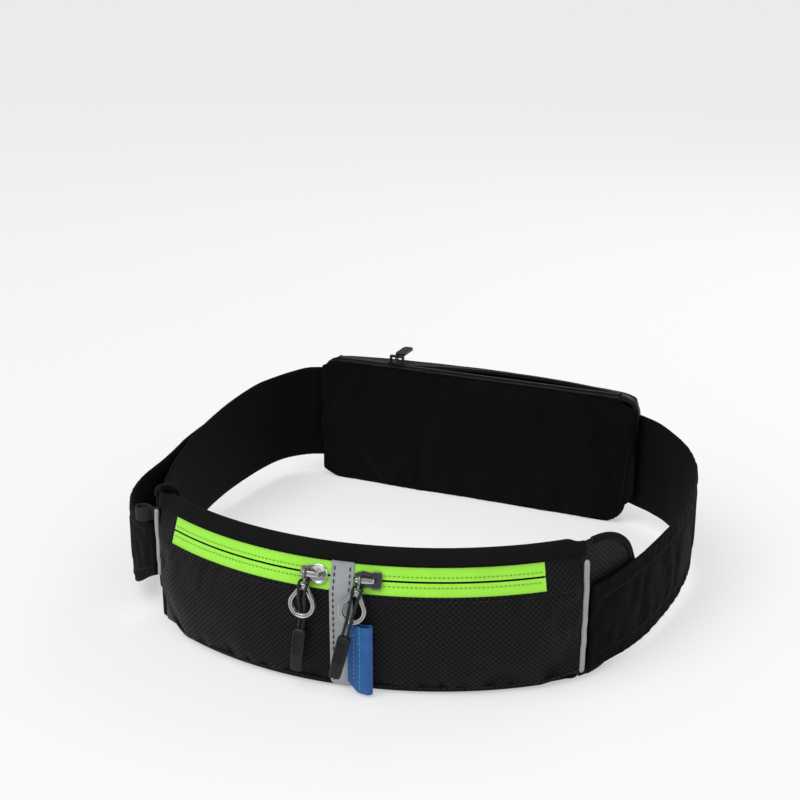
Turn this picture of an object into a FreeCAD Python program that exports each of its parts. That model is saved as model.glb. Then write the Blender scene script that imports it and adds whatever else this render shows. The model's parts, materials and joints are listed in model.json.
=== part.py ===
import FreeCAD, Part
import math
import os

# Waist pack, stored fastened into a loop: a shallow curved front pouch with two zipped pockets, a flat
# rear pouch, and two padded belts. +Z is up, the wearer stands inside the loop and faces -Y.
# Millimetres and degrees. The parts are drawn about the middle of the front seam and then moved, so that
# the origin is on the resting surface under the middle of the bounding box.

V = FreeCAD.Vector

# ---- front pouch ----
POUCH_WIDTH = 240.0          # from one piping seam to the other
RIM_HEIGHT = 80.0
BACK_SAGITTA = 38.0          # how far the back panel bows forward of the piping seams
POUCH_DEPTH = 12.0           # back panel's face to front panel's face at the middle
END_DEPTH = 9.0              # front panel's face in front of the piping seams
BACK_THICK = 2.0
SHELL = 1.5                  # front shell fabric with its foam
BASE_THICK = 2.0
END_WALL = 2.0
INWARD = 40.0                # pouch pieces are drawn this deep, then trimmed by the back panel
LINING = 0.4

# ---- front zips ----
RIM_BAND = 8.0               # plain band between the zip tape and the rim
ZIP_HIGH = RIM_HEIGHT - RIM_BAND
ZIP_TALL = 16.0              # both tapes and the slit between them
ZIP_LOW = ZIP_HIGH - ZIP_TALL
ZIP_LEAN = 5.0               # how far the upper edge stands behind the lower one
TAPE = 0.8
ZIP_SLIT = 1.4               # gap between the two tapes, and between the two coils
COIL_WIDE = 1.6
COIL_DEEP = 1.2
LEFT_PATCH = 13.0            # fabric between the left tape's end and the piping
RIGHT_PATCH = 17.0
LEFT_TAPE_END = LEFT_PATCH - POUCH_WIDTH / 2
RIGHT_TAPE_END = POUCH_WIDTH / 2 - RIGHT_PATCH
STOP_LENGTH = 2.0

# ---- reflective strip, piping, label, webbing loop ----
STRIP_LEFT = -5.0
STRIP_WIDTH = 12.5
STRIP_THICK = 0.8
PIPING_RADIUS = 1.3
PIPING_FOOT = 5.0
PIPING_DROP = 10.0           # piping ends this far below the rim
PIPING_TOP = RIM_HEIGHT - PIPING_DROP
LABEL_FOOT = 1.5
LABEL_HEIGHT = 39.0
LABEL_WIDTH = 14.5
LABEL_LAYER = 0.6
LABEL_ROOT_RADIUS = 0.7
LABEL_FOLD_RADIUS = 2.4
LABEL_GAP = 0.4
LABEL_OVERLAP = 3.0          # the sewn edge stands this far in from the strip's edge
LOOP_INNER_RADIUS = 3.8
LOOP_LAYER = 0.9
LOOP_FOOT = PIPING_TOP - 8.0
LOOP_REACH = 10.5            # middle of the loop out from the seam
LOOP_HEIGHT = 8.0

# ---- wings past the piping, belts and closure ----
WING_THICK = 2.0
WING_REACH = 36.0            # the right wing's end, behind the front seam
WING_CORNER = 32.0
CURL_RADIUS = 7.0
CURL_TURN = 165.0
BELT_THICK = 3.0
BELT_HEADING = 57.0          # direction of the right belt where it leaves the pouch
BELT_REAR_HEADING = 144.6
RIGHT_FIRST_TURN = 33.0
LEFT_HEADING = 116.0
LEFT_FIRST_TURN = -46.0
BELT_FRONT_LOW = 3.0         # lower and upper edges of the belts at the front seam
BELT_FRONT_HIGH = 53.5
BELT_REAR_LOW = 12.0         # and at the rear pouch
BELT_REAR_HIGH = 76.5
FREE_END_START = 26.0        # the long belt's free end starts this far behind the front seam
TAB_HEADING = 150.0
TAB_FIRST_TURN = -68.0
TAB_MEETS_BELT = 118.0       # where the tab comes to lie on the belt, behind the front seam
TAB_LAP_TURN = 7.0
TAB_CLEAR = 1.8              # tab's middle past the piping
TAB_ROOT_Y = 2.0             # the tab widens from here, behind the front seam
TAB_WIDE_Y = 26.0            # to here
TAB_ROOT_LOW = 19.0
TAB_ROOT_HIGH = 59.0
TAB_WIDE_LOW = 6.5
TAB_WIDE_HIGH = 57.5
TAB_END_LOW = 10.0
TAB_END_HIGH = 63.5
PATCH_THICK = 0.8
PATCH_LENGTH_TURN = 6.0
PATCH_MARGIN = 8.0           # patch's edges inside the belt's
FIT_GAP = 0.35               # clearance between pieces that move past each other

# ---- rear pouch ----
REAR_DISTANCE = 228.0        # belt line at the rear, behind the front seam
REAR_TURN = -7.7             # the rear pouch's turn about Z
REAR_LEFT = -104.5
REAR_RIGHT = 121.5
REAR_FOOT_RIGHT = 114.0      # the right end is cut in towards the bottom
REAR_HEIGHT = 86.5
REAR_INSIDE = 8.0            # inner panel's face inside the belt line
REAR_OUTSIDE = 4.0           # outer panel's face outside the belt line, at its ends
REAR_BULGE = 12.0            # and further out at the middle
REAR_PANEL = 1.5
REAR_LINING_INSET = 3.2
REAR_CORNER = 11.0
REAR_ZIP_LINE = -2.0         # the zip's middle, along the pouch's depth
REAR_ZIP_START = -92.0
REAR_ZIP_END = 107.0
REAR_TAPE = 1.0
REAR_COIL_HIGH = 1.6
REAR_SLIDER_AT = -50.0
MOUTH_OPEN = 11.0            # how far the open lip bows out
REAR_REACH = 60.0            # rear pieces are drawn this deep, then trimmed by the outer face

# ---- sliders and pulls ----
SLIDER_LENGTH = 11.5
SLIDER_WIDE = 9.0
SLIDER_TAIL_WIDE = 6.4
SLIDER_NOSE = 4.0            # length of the wide end
SLIDER_CORNER = 1.5
POST_LENGTH = 3.0
SINK = 0.1                   # pieces of one casting sink into each other by this
PLATE = 1.2
INNER_PLATE = 0.8
POST = 0.8
BRIDGE_WIDE = 2.4
BRIDGE_THICK = 1.2
BRIDGE_RISE = 2.9            # clear height under the bridge
BRIDGE_LENGTH = 10.0
WIRE_RADIUS = 0.6
EYE_RADIUS = 2.25
RING_WIDE = 14.6
RING_TOP = 6.0               # top of the ring's drop shape below the bridge bar
RING_FOOT = 24.5
RING_THICK = 1.8
RING_BAND = 1.9
NECK_RADIUS = 0.9
NECK_LOW = 4.5               # where the pull cords go round the neck, below the bridge bar
LEFT_SLIDER_X = -15.0
RIGHT_SLIDER_X = 14.0
SLIDER_END_GAP = 9.0         # slider's middle stops this far short of the tape's end
PULL_LEAN = 7.0
LEFT_TILT = 4.5
RIGHT_TILT = 13.0
CORD_DIAMETER = 1.6
TIP_WIDE = 6.8
TIP_THICK = 4.6
TIP_TOP = 31.5               # below the bridge bar
TIP_LENGTH = 24.0
TIP_SLOPE = 1.9              # chamfers at the tip's foot and along its corners
TIP_CORNER = 0.7
REAR_TAB_LENGTH = 17.3
REAR_NECK = 1.7              # from the eye's ring to the tongue
REAR_TAB_ROUND = 2.5
REAR_TAB_WIDE = 7.0
REAR_TAB_THICK = 1.6

# ---- worked out ----
HALF = POUCH_WIDTH / 2
BACK_R = (HALF ** 2 + BACK_SAGITTA ** 2) / (2 * BACK_SAGITTA)
BACK_Y = BACK_R - BACK_SAGITTA
FRONT_SAGITTA = BACK_SAGITTA + POUCH_DEPTH - END_DEPTH
FRONT_R = (HALF ** 2 + FRONT_SAGITTA ** 2) / (2 * FRONT_SAGITTA)
ZIP_Y = FRONT_R - BACK_SAGITTA - POUCH_DEPTH        # both front zips run on circles about (0, ZIP_Y)
ZIP_R = FRONT_R - ZIP_LEAN / 2
ZIP_Z = (ZIP_LOW + ZIP_HIGH) / 2
LEAN = math.degrees(math.atan2(ZIP_LEAN, ZIP_HIGH - ZIP_LOW))
HALF_TAPE = math.hypot(ZIP_LEAN, ZIP_HIGH - ZIP_LOW) / 2
STRIP_RIGHT = STRIP_LEFT + STRIP_WIDTH
WALL_X = HALF - END_WALL
BAR_OUT = FIT_GAP + PLATE + BRIDGE_RISE + BRIDGE_THICK / 2
SEAM_STEP = WING_THICK / 2 + 2 * FIT_GAP + BELT_THICK / 2      # right wing's middle to the belt's middle
EYE_SHIFT = BRIDGE_LENGTH / 2 - BRIDGE_THICK - WIRE_RADIUS - 3 * FIT_GAP      # the eye hangs near the bar's left end
TALL = 300.0                 # longer than anything here


def heading(angle):
    """Unit vector in plan at an angle from +X."""
    return V(math.cos(math.radians(angle)), math.sin(math.radians(angle)), 0)


def prism(points, move):
    """Straight-sided solid: a flat outline moved along a vector."""
    return Part.Face(Part.makePolygon([V(*p) for p in points + points[:1]])).extrude(move)


def box(x0, x1, y0, y1, z0, z1):
    """Box between two corners."""
    return Part.makeBox(x1 - x0, y1 - y0, z1 - z0, V(x0, y0, z0))


def between(shape, x0, x1):
    """What lies between two X planes."""
    return shape.common(box(x0, x1, -TALL, TALL, -TALL, TALL))


def turned(shape, profile_point, axis, angle):
    """Copy of a shape turned about a line."""
    copy = shape.copy()
    copy.rotate(profile_point, axis, angle)
    return copy


# ---- plan curves: a start, a heading and a list of (radius, turn) arcs, left turns positive ----
def step(point, angle, radius, turn):
    """Point and heading after one arc."""
    signed = math.copysign(radius, turn)
    a0 = math.radians(angle)
    a1 = math.radians(angle + turn)
    move = V(signed * (math.sin(a1) - math.sin(a0)), signed * (math.cos(a0) - math.cos(a1)), 0)
    return point.add(move), angle + turn


def two_arcs(start, angle, end, end_angle, first_turn):
    """The two tangent arcs that join two points with a given heading at each."""
    second_turn = end_angle - angle - first_turn
    h0 = math.radians(angle)
    h1 = math.radians(angle + first_turn)
    h2 = math.radians(end_angle)
    u = (math.sin(h1) - math.sin(h0), math.cos(h0) - math.cos(h1))
    v = (math.sin(h2) - math.sin(h1), math.cos(h1) - math.cos(h2))
    dx = end.x - start.x
    dy = end.y - start.y
    area = u[0] * v[1] - u[1] * v[0]
    r0 = (dx * v[1] - dy * v[0]) / area
    r1 = (u[0] * dy - u[1] * dx) / area
    return [(abs(r0), first_turn), (abs(r1), second_turn)]


def side_line(start, angle, arcs, left):
    """Edges of a plan curve moved to its left, with its first and last points."""
    edges = []
    point = start
    first = start.add(heading(angle + 90) * left)
    last = first
    for radius, turn in arcs:
        shifted = radius - left if turn > 0 else radius + left
        a = point.add(heading(angle + 90) * left)
        middle, _ = step(a, angle, shifted, turn / 2)
        point, angle = step(point, angle, radius, turn)
        last = point.add(heading(angle + 90) * left)
        edges.append(Part.Arc(a, middle, last).toShape())
    return edges, first, last


def wall(start, angle, arcs, right, left, z0, z1):
    """Upright sheet along a plan curve, between an offset to its right and one to its left."""
    near, near_first, near_last = side_line(start, angle, arcs, -right)
    far, far_first, far_last = side_line(start, angle, arcs, left)
    ends = [Part.makeLine(near_last, far_last), Part.makeLine(near_first, far_first)]
    face = Part.Face(Part.Wire(Part.__sortEdges__(near + far + ends)))
    face.translate(V(0, 0, z0))
    return face.extrude(V(0, 0, z1 - z0))


def drop(small, small_radius, big, big_radius):
    """Flat face in plan: two circles joined by their outer tangents."""
    line = big.sub(small)
    base = math.degrees(math.atan2(line.y, line.x))
    open_angle = math.degrees(math.acos((small_radius - big_radius) / line.Length))
    a0 = small.add(heading(base + open_angle) * small_radius)
    a1 = small.add(heading(base - open_angle) * small_radius)
    b0 = big.add(heading(base + open_angle) * big_radius)
    b1 = big.add(heading(base - open_angle) * big_radius)
    around_small = Part.Arc(a0, small.sub(heading(base) * small_radius), a1).toShape()
    around_big = Part.Arc(b1, big.add(heading(base) * big_radius), b0).toShape()
    sides = [Part.makeLine(a1, b1), Part.makeLine(b0, a0)]
    return Part.Face(Part.Wire(Part.__sortEdges__([around_small, sides[0], around_big, sides[1]])))


def tube_along(points, diameter):
    """Round tube along straight runs with the largest tangent arc that each corner allows."""
    share = 0.45
    edges = []
    here = points[0]
    for before, corner, after in zip(points, points[1:], points[2:]):
        back = before.sub(corner)
        on = after.sub(corner)
        reach = share * min(back.Length, on.Length)
        enter = corner.add(back.normalize() * reach)
        leave = corner.add(on.normalize() * reach)
        half_turn = (math.pi - back.getAngle(on)) / 2
        radius = reach / math.tan(half_turn)
        print("cord arc radius", round(radius, 2))
        to_centre = back.add(on).normalize()
        middle = corner.add(to_centre * (radius / math.cos(half_turn) - radius))
        edges.append(Part.LineSegment(here, enter).toShape())
        edges.append(Part.Arc(enter, middle, leave).toShape())
        here = leave
    edges.append(Part.LineSegment(here, points[-1]).toShape())
    path = Part.Wire(edges)
    start = points[1].sub(points[0])
    circle = Part.Wire(Part.makeCircle(diameter / 2, points[0], start))
    tube = path.makePipeShell([circle], True, False, 2)
    wanted = path.Length * math.pi * diameter ** 2 / 4
    print("cord length", round(path.Length, 1), "volume over section times length", round(tube.Volume / wanted, 3))
    return tube


# ---- front pouch shell: profiles turned about the zips' upright axis, trimmed by the back panel ----
def zip_point(out, up):
    """Profile point (radius, z) at a distance out of the zip tape and up its slope from its middle."""
    lean = math.radians(LEAN)
    radius = ZIP_R + out * math.cos(lean) - up * math.sin(lean)
    return radius, ZIP_Z + out * math.sin(lean) + up * math.cos(lean)


def ring(profile, x0, x1):
    """Profile of (radius, z) turned about the zips' axis, kept between two X planes."""
    sweep = 100.0
    points = [(0, ZIP_Y - r, z) for r, z in profile]
    face = Part.Face(Part.makePolygon([V(*p) for p in points + points[:1]]))
    face.rotate(V(0, ZIP_Y, 0), V(0, 0, 1), -sweep / 2)
    return between(face.revolve(V(0, ZIP_Y, 0), V(0, 0, 1), sweep), x0, x1)


def zip_strip(out0, out1, up0, up1, x0, x1):
    """Strip of the zip's sloping band."""
    corners = [zip_point(out0, up0), zip_point(out1, up0), zip_point(out1, up1), zip_point(out0, up1)]
    return ring(corners, x0, x1)


def back_cylinder(radius):
    """Everything on the wearer's side of a circle about the back panel's axis."""
    return Part.makeCylinder(radius, 3 * TALL, V(0, BACK_Y, -TALL))


def in_front(shape):
    """What lies in front of the back panel's front face."""
    return shape.cut(back_cylinder(BACK_R + BACK_THICK))


def back_panel():
    shell = back_cylinder(BACK_R + BACK_THICK).cut(back_cylinder(BACK_R))
    return shell.common(box(-HALF, HALF, -TALL, BACK_Y, 0, RIM_HEIGHT))


def bottom_panel():
    profile = [(FRONT_R - INWARD, 0), (FRONT_R, 0), (FRONT_R, BASE_THICK), (FRONT_R - INWARD, BASE_THICK)]
    return in_front(ring(profile, -HALF, HALF))


def front_panel():
    inner = FRONT_R - SHELL
    profile = [(inner, BASE_THICK), (FRONT_R, BASE_THICK), (FRONT_R, ZIP_LOW), (inner, ZIP_LOW)]
    return in_front(ring(profile, -WALL_X, WALL_X))


def top_band():
    low = FRONT_R - ZIP_LEAN
    high = ZIP_Y + BACK_SAGITTA + BACK_THICK
    profile = [(low - TAPE, ZIP_HIGH), (low, ZIP_HIGH), (high, RIM_HEIGHT), (high - SHELL, RIM_HEIGHT)]
    return in_front(ring(profile, -WALL_X, WALL_X))


def end_panel(side, tape_end):
    """Patch beside the zip and the wall that closes the pouch's end."""
    lean_foot = FRONT_R - ZIP_LEAN
    patch = [(FRONT_R - SHELL, ZIP_LOW), (FRONT_R, ZIP_LOW), (lean_foot, ZIP_HIGH), (lean_foot - SHELL, ZIP_HIGH)]
    full = [(FRONT_R - INWARD, BASE_THICK), (FRONT_R, BASE_THICK), (FRONT_R, ZIP_LOW), (lean_foot, ZIP_HIGH),
            (FRONT_R - INWARD, ZIP_HIGH)]
    spans = sorted([tape_end, side * WALL_X])
    ends = sorted([side * WALL_X, side * HALF])
    return in_front(ring(patch, *spans).fuse(ring(full, *ends))).removeSplitter()


def zip_tape(x0, x1, up0, up1):
    band = box(-TALL, TALL, -TALL, TALL, ZIP_LOW, ZIP_HIGH)
    return in_front(zip_strip(-TAPE, 0, up0, up1, x0, x1).common(band))


def zip_coils(x0, x1):
    edge = ZIP_SLIT / 2
    lower = zip_strip(-TAPE - COIL_DEEP, -TAPE, -edge - COIL_WIDE, -edge, x0, x1)
    upper = zip_strip(-TAPE - COIL_DEEP, -TAPE, edge, edge + COIL_WIDE, x0, x1)
    return Part.makeCompound([in_front(lower), in_front(upper)])


def zip_stop(x0, x1):
    reach = ZIP_SLIT / 2 + COIL_WIDE
    return in_front(zip_strip(-TAPE - COIL_DEEP, -TAPE, -reach, reach, x0, x1))


def center_strip():
    outer = FRONT_R + STRIP_THICK
    low = [(FRONT_R, 0), (outer, 0), (outer, ZIP_LOW), (FRONT_R, ZIP_LOW)]
    top = FRONT_R - ZIP_LEAN
    band = [(FRONT_R - SHELL, ZIP_LOW), (outer, ZIP_LOW), (top + STRIP_THICK, ZIP_HIGH), (top - TAPE, ZIP_HIGH)]
    return ring(low, STRIP_LEFT, STRIP_RIGHT).fuse(ring(band, STRIP_LEFT, STRIP_RIGHT)).removeSplitter()


def pocket_divider():
    middle = (STRIP_LEFT + STRIP_RIGHT) / 2
    profile = [(FRONT_R - INWARD, BASE_THICK), (FRONT_R - SHELL, BASE_THICK), (FRONT_R - SHELL, ZIP_LOW),
               (FRONT_R - INWARD, ZIP_LOW)]
    return in_front(ring(profile, middle - LINING, middle + LINING))


def pocket_lining(x0, x1):
    outer = FRONT_R - SHELL
    foot = BASE_THICK
    profile = [(outer - LINING, foot), (outer, foot), (outer, ZIP_LOW - SHELL), (outer - LINING, ZIP_LOW - SHELL)]
    return in_front(ring(profile, x0, x1))


def piping(side):
    """Reflective bead on the seam at the pouch's end."""
    y = BACK_Y - math.sqrt((BACK_R + BACK_THICK) ** 2 - HALF ** 2) - 2 * PIPING_RADIUS
    foot = V(side * (HALF + PIPING_RADIUS), y, PIPING_FOOT)
    return Part.makeCylinder(PIPING_RADIUS, PIPING_TOP - PIPING_FOOT, foot)


def webbing_loop():
    """Upright ribbon loop that stands out from the left seam above the closure tab."""
    outer = LOOP_INNER_RADIUS + LOOP_LAYER
    seam_y = BACK_Y - math.sqrt((BACK_R + BACK_THICK) ** 2 - HALF ** 2)
    centre = V(-HALF - LOOP_REACH, seam_y - LOOP_LAYER / 2, LOOP_FOOT)
    tube = Part.makeCylinder(outer, LOOP_HEIGHT, centre)
    tube = tube.cut(Part.makeCylinder(LOOP_INNER_RADIUS, LOOP_HEIGHT, centre))
    root_x = centre.x + LOOP_INNER_RADIUS + LOOP_LAYER / 2
    root = box(root_x, -HALF, seam_y - LOOP_LAYER, seam_y, LOOP_FOOT, LOOP_FOOT + LOOP_HEIGHT)
    return tube.fuse(root).removeSplitter()


def side_label():
    """Folded ribbon tag, sewn upright beside the strip and open at its top and foot."""
    root_x = STRIP_RIGHT - LABEL_OVERLAP + LABEL_ROOT_RADIUS
    back = -(math.sqrt((FRONT_R + STRIP_THICK) ** 2 - root_x ** 2) - ZIP_Y) - LABEL_GAP
    fold_x = root_x + LABEL_WIDTH - LABEL_FOLD_RADIUS - LABEL_ROOT_RADIUS
    root = V(root_x, back - LABEL_ROOT_RADIUS, 0)
    fold = V(fold_x, back - LABEL_FOLD_RADIUS, 0)
    outer = drop(root, LABEL_ROOT_RADIUS, fold, LABEL_FOLD_RADIUS)
    inner = drop(root.add(V(LABEL_FOLD_RADIUS, -LABEL_LAYER / 2, 0)), LABEL_ROOT_RADIUS - LABEL_LAYER / 2,
                 fold, LABEL_FOLD_RADIUS - LABEL_LAYER)
    tag = outer.extrude(V(0, 0, LABEL_HEIGHT)).cut(inner.extrude(V(0, 0, LABEL_HEIGHT)))
    tag.translate(V(0, 0, LABEL_FOOT))
    return tag, V(root_x, back - LABEL_ROOT_RADIUS, LABEL_FOOT + LABEL_HEIGHT / 2)


# ---- wings, belts and closure tab ----
def round_ended(y1, z0, z1, radius):
    """Side outline for a sheet that ends at y1 with two rounded corners, as a solid across the whole width."""
    plate = box(-TALL, TALL, -TALL, y1, z0, z1)
    corners = [e for e in plate.Edges if abs(e.CenterOfMass.y - y1) < 0.01 and abs(e.CenterOfMass.x) < 0.01]
    return plate.makeFillet(min(radius, (z1 - z0) / 2 - 0.1), corners)


def belt_outline(margin):
    """Side outline that widens the belts from the front seam to the rear pouch, across the whole width."""
    slope_low = (BELT_REAR_LOW - BELT_FRONT_LOW) / REAR_DISTANCE
    slope_high = (BELT_REAR_HIGH - BELT_FRONT_HIGH) / REAR_DISTANCE
    low = BELT_FRONT_LOW + margin
    high = BELT_FRONT_HIGH - margin
    y0 = -HALF
    y1 = TALL
    points = [(-TALL, y0, low + slope_low * y0), (-TALL, y1, low + slope_low * y1),
              (-TALL, y1, high + slope_high * y1), (-TALL, y0, high + slope_high * y0)]
    return prism(points, V(2 * TALL, 0, 0))


def back_end(side):
    """Middle of the back panel's end in plan, and its heading there, outward."""
    rise = math.degrees(math.asin(HALF / BACK_R))
    middle = BACK_R + BACK_THICK / 2
    angle = math.radians(rise)
    point = V(side * middle * math.sin(angle), BACK_Y - middle * math.cos(angle), 0)
    return point, rise if side > 0 else 180 - rise


def right_belt_path():
    seam, _ = back_end(1)
    start = seam.sub(heading(BELT_HEADING + 90) * SEAM_STEP)
    rear = rear_point(REAR_RIGHT, 0)
    return start, BELT_HEADING, two_arcs(start, BELT_HEADING, rear, BELT_REAR_HEADING, RIGHT_FIRST_TURN)


def right_wing():
    """Carries the back panel on past the piping, inside the belt, to a rounded end."""
    seam, _ = back_end(1)
    _, angle, arcs = right_belt_path()
    radius = arcs[0][0] - SEAM_STEP
    slanted = 1.3 * WING_REACH
    wing_arcs = [(radius, math.degrees(slanted / radius))]
    sheet = wall(seam, angle, wing_arcs, WING_THICK / 2, WING_THICK / 2, 0, RIM_HEIGHT)
    return sheet.common(round_ended(WING_REACH, 0, RIM_HEIGHT, WING_CORNER)).cut(back_panel())


def left_wing():
    """The back panel's other end, which is free and curls in towards the wearer."""
    seam, angle = back_end(-1)
    sheet = wall(seam, angle, [(CURL_RADIUS, -CURL_TURN)], WING_THICK / 2, WING_THICK / 2, 0, RIM_HEIGHT)
    return sheet.cut(back_panel())


def right_belt():
    start, angle, arcs = right_belt_path()
    sheet = wall(start, angle, arcs, BELT_THICK / 2, BELT_THICK / 2, -TALL, TALL)
    return sheet.common(belt_outline(0)).cut(rear_envelope(0.0))


def left_belt_path():
    """It would start where the right belt's mirror image does; the free end is cut behind that."""
    mirror, _, _ = right_belt_path()
    start = V(-mirror.x, mirror.y, 0)
    return start, LEFT_HEADING, two_arcs(start, LEFT_HEADING, belt_hinge(), REAR_TURN, LEFT_FIRST_TURN)


def belt_hinge():
    """Where the left belt's rear end turns, just clear of the rear pouch's end."""
    return rear_point(REAR_LEFT, 0).sub(heading(REAR_TURN) * 2 * FIT_GAP)


def behind(y0):
    """Everything behind a plan line."""
    return box(-TALL, TALL, y0, 2 * TALL, -TALL, TALL)


def left_belt():
    start, angle, arcs = left_belt_path()
    sheet = wall(start, angle, arcs, BELT_THICK / 2, BELT_THICK / 2, -TALL, TALL)
    return sheet.common(belt_outline(0)).common(behind(FREE_END_START))


def tab_path():
    """Closure tab: it leaves the left seam, bows outward and comes back to lie along the belt."""
    start, angle, arcs = left_belt_path()
    radius = arcs[0][0]
    lap = BELT_THICK + 2 * PATCH_THICK + FIT_GAP
    cosine = (TAB_MEETS_BELT - start.y) / radius + math.cos(math.radians(angle))
    meet_angle = math.degrees(math.acos(cosine))
    meet = V(start.x + radius * (math.sin(math.radians(angle)) - math.sin(math.radians(meet_angle))),
             TAB_MEETS_BELT, 0).add(heading(meet_angle + 90) * lap)
    begin = V(-HALF - 2 * PIPING_RADIUS - TAB_CLEAR, -PIPING_RADIUS - BELT_THICK / 2, 0)
    bow = two_arcs(begin, TAB_HEADING, meet, meet_angle, TAB_FIRST_TURN)
    return begin, TAB_HEADING, bow, meet, meet_angle, radius + lap


def tab_outline():
    """Side outline of the closure tab, across the whole width."""
    low = [(-TALL, -TALL, TAB_ROOT_LOW), (-TALL, TAB_ROOT_Y, TAB_ROOT_LOW), (-TALL, TAB_WIDE_Y, TAB_WIDE_LOW),
           (-TALL, TAB_MEETS_BELT, TAB_END_LOW), (-TALL, TALL, TAB_END_LOW)]
    high = [(-TALL, TALL, TAB_END_HIGH), (-TALL, TAB_MEETS_BELT, TAB_END_HIGH), (-TALL, TAB_WIDE_Y, TAB_WIDE_HIGH),
            (-TALL, TAB_ROOT_Y, TAB_ROOT_HIGH), (-TALL, -TALL, TAB_ROOT_HIGH)]
    return prism(low + high, V(2 * TALL, 0, 0))


def closure_tab():
    begin, angle, bow, meet, meet_angle, lap_radius = tab_path()
    arcs = bow + [(lap_radius, -TAB_LAP_TURN)]
    sheet = wall(begin, angle, arcs, BELT_THICK / 2, BELT_THICK / 2, -TALL, TALL)
    return sheet.common(tab_outline())


def patch(inward):
    """Hook or loop patch where the tab laps the belt, its middle a distance inward of the tab's middle."""
    _, _, _, meet, meet_angle, lap_radius = tab_path()
    spare = (TAB_LAP_TURN - PATCH_LENGTH_TURN) / 2
    start, angle = step(meet, meet_angle, lap_radius, -spare)
    arcs = [(lap_radius, -PATCH_LENGTH_TURN)]
    sheet = wall(start, angle, arcs, inward + PATCH_THICK / 2, PATCH_THICK / 2 - inward, -TALL, TALL)
    return sheet.common(belt_outline(PATCH_MARGIN))


# ---- rear pouch: drawn along X with its depth along Y, then turned and moved back ----
def rear_point(u, v):
    """Plan point of the rear pouch in the pack's frame."""
    return V(0, REAR_DISTANCE, 0).add(heading(REAR_TURN) * u).add(heading(REAR_TURN + 90) * v)


def placed(shape):
    moved = shape.copy()
    moved.rotate(V(0, 0, 0), V(0, 0, 1), REAR_TURN)
    moved.translate(V(0, REAR_DISTANCE, 0))
    return moved


def rear_outline(inset, y0, y1):
    """The rear pouch's front outline, taken in all round and made a solid from y0 to y1."""
    low = inset
    high = REAR_HEIGHT - inset
    left = REAR_LEFT + inset
    right = REAR_RIGHT - inset
    foot = REAR_FOOT_RIGHT - inset
    points = [(left, y0, low), (foot, y0, low), (right, y0, high), (left, y0, high)]
    plate = prism(points, V(0, y1 - y0, 0))
    corners = [e for e in plate.Edges if abs(e.Vertexes[0].Point.y - e.Vertexes[1].Point.y) > 0.1]
    return plate.makeFillet(REAR_CORNER - inset, corners)


def outer_arc(offset):
    """Everything inside the outer panel's bulged face, moved outward by an offset."""
    half = (REAR_RIGHT - REAR_LEFT) / 2
    middle = (REAR_RIGHT + REAR_LEFT) / 2
    radius = (half ** 2 + REAR_BULGE ** 2) / (2 * REAR_BULGE)
    return Part.makeCylinder(radius + offset, 3 * TALL, V(middle, REAR_OUTSIDE + REAR_BULGE - radius, -TALL))


def rear_envelope(inset):
    solid = rear_outline(inset, -REAR_INSIDE + inset, REAR_REACH).common(outer_arc(-inset))
    return placed(solid)


def lens(y_line, sagitta):
    """Plan lens of the open mouth, from the zip's line out to the bowed lip, right of the slider."""
    u0 = REAR_SLIDER_AT + SLIDER_LENGTH / 2
    half = (REAR_ZIP_END - u0) / 2
    radius = (half ** 2 + sagitta ** 2) / (2 * sagitta)
    disc = Part.makeCylinder(radius, TALL, V(u0 + half, y_line + sagitta - radius, 0))
    return disc.common(box(-TALL, TALL, y_line - 0.01, TALL, 0, TALL))


def rear_ring(y0):
    """Edge strip round the rear pouch, from y0 out to the outer panel."""
    ring_solid = rear_outline(0, y0, REAR_REACH).cut(rear_outline(REAR_PANEL, y0, REAR_REACH))
    return ring_solid.common(outer_arc(-REAR_PANEL))


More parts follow.
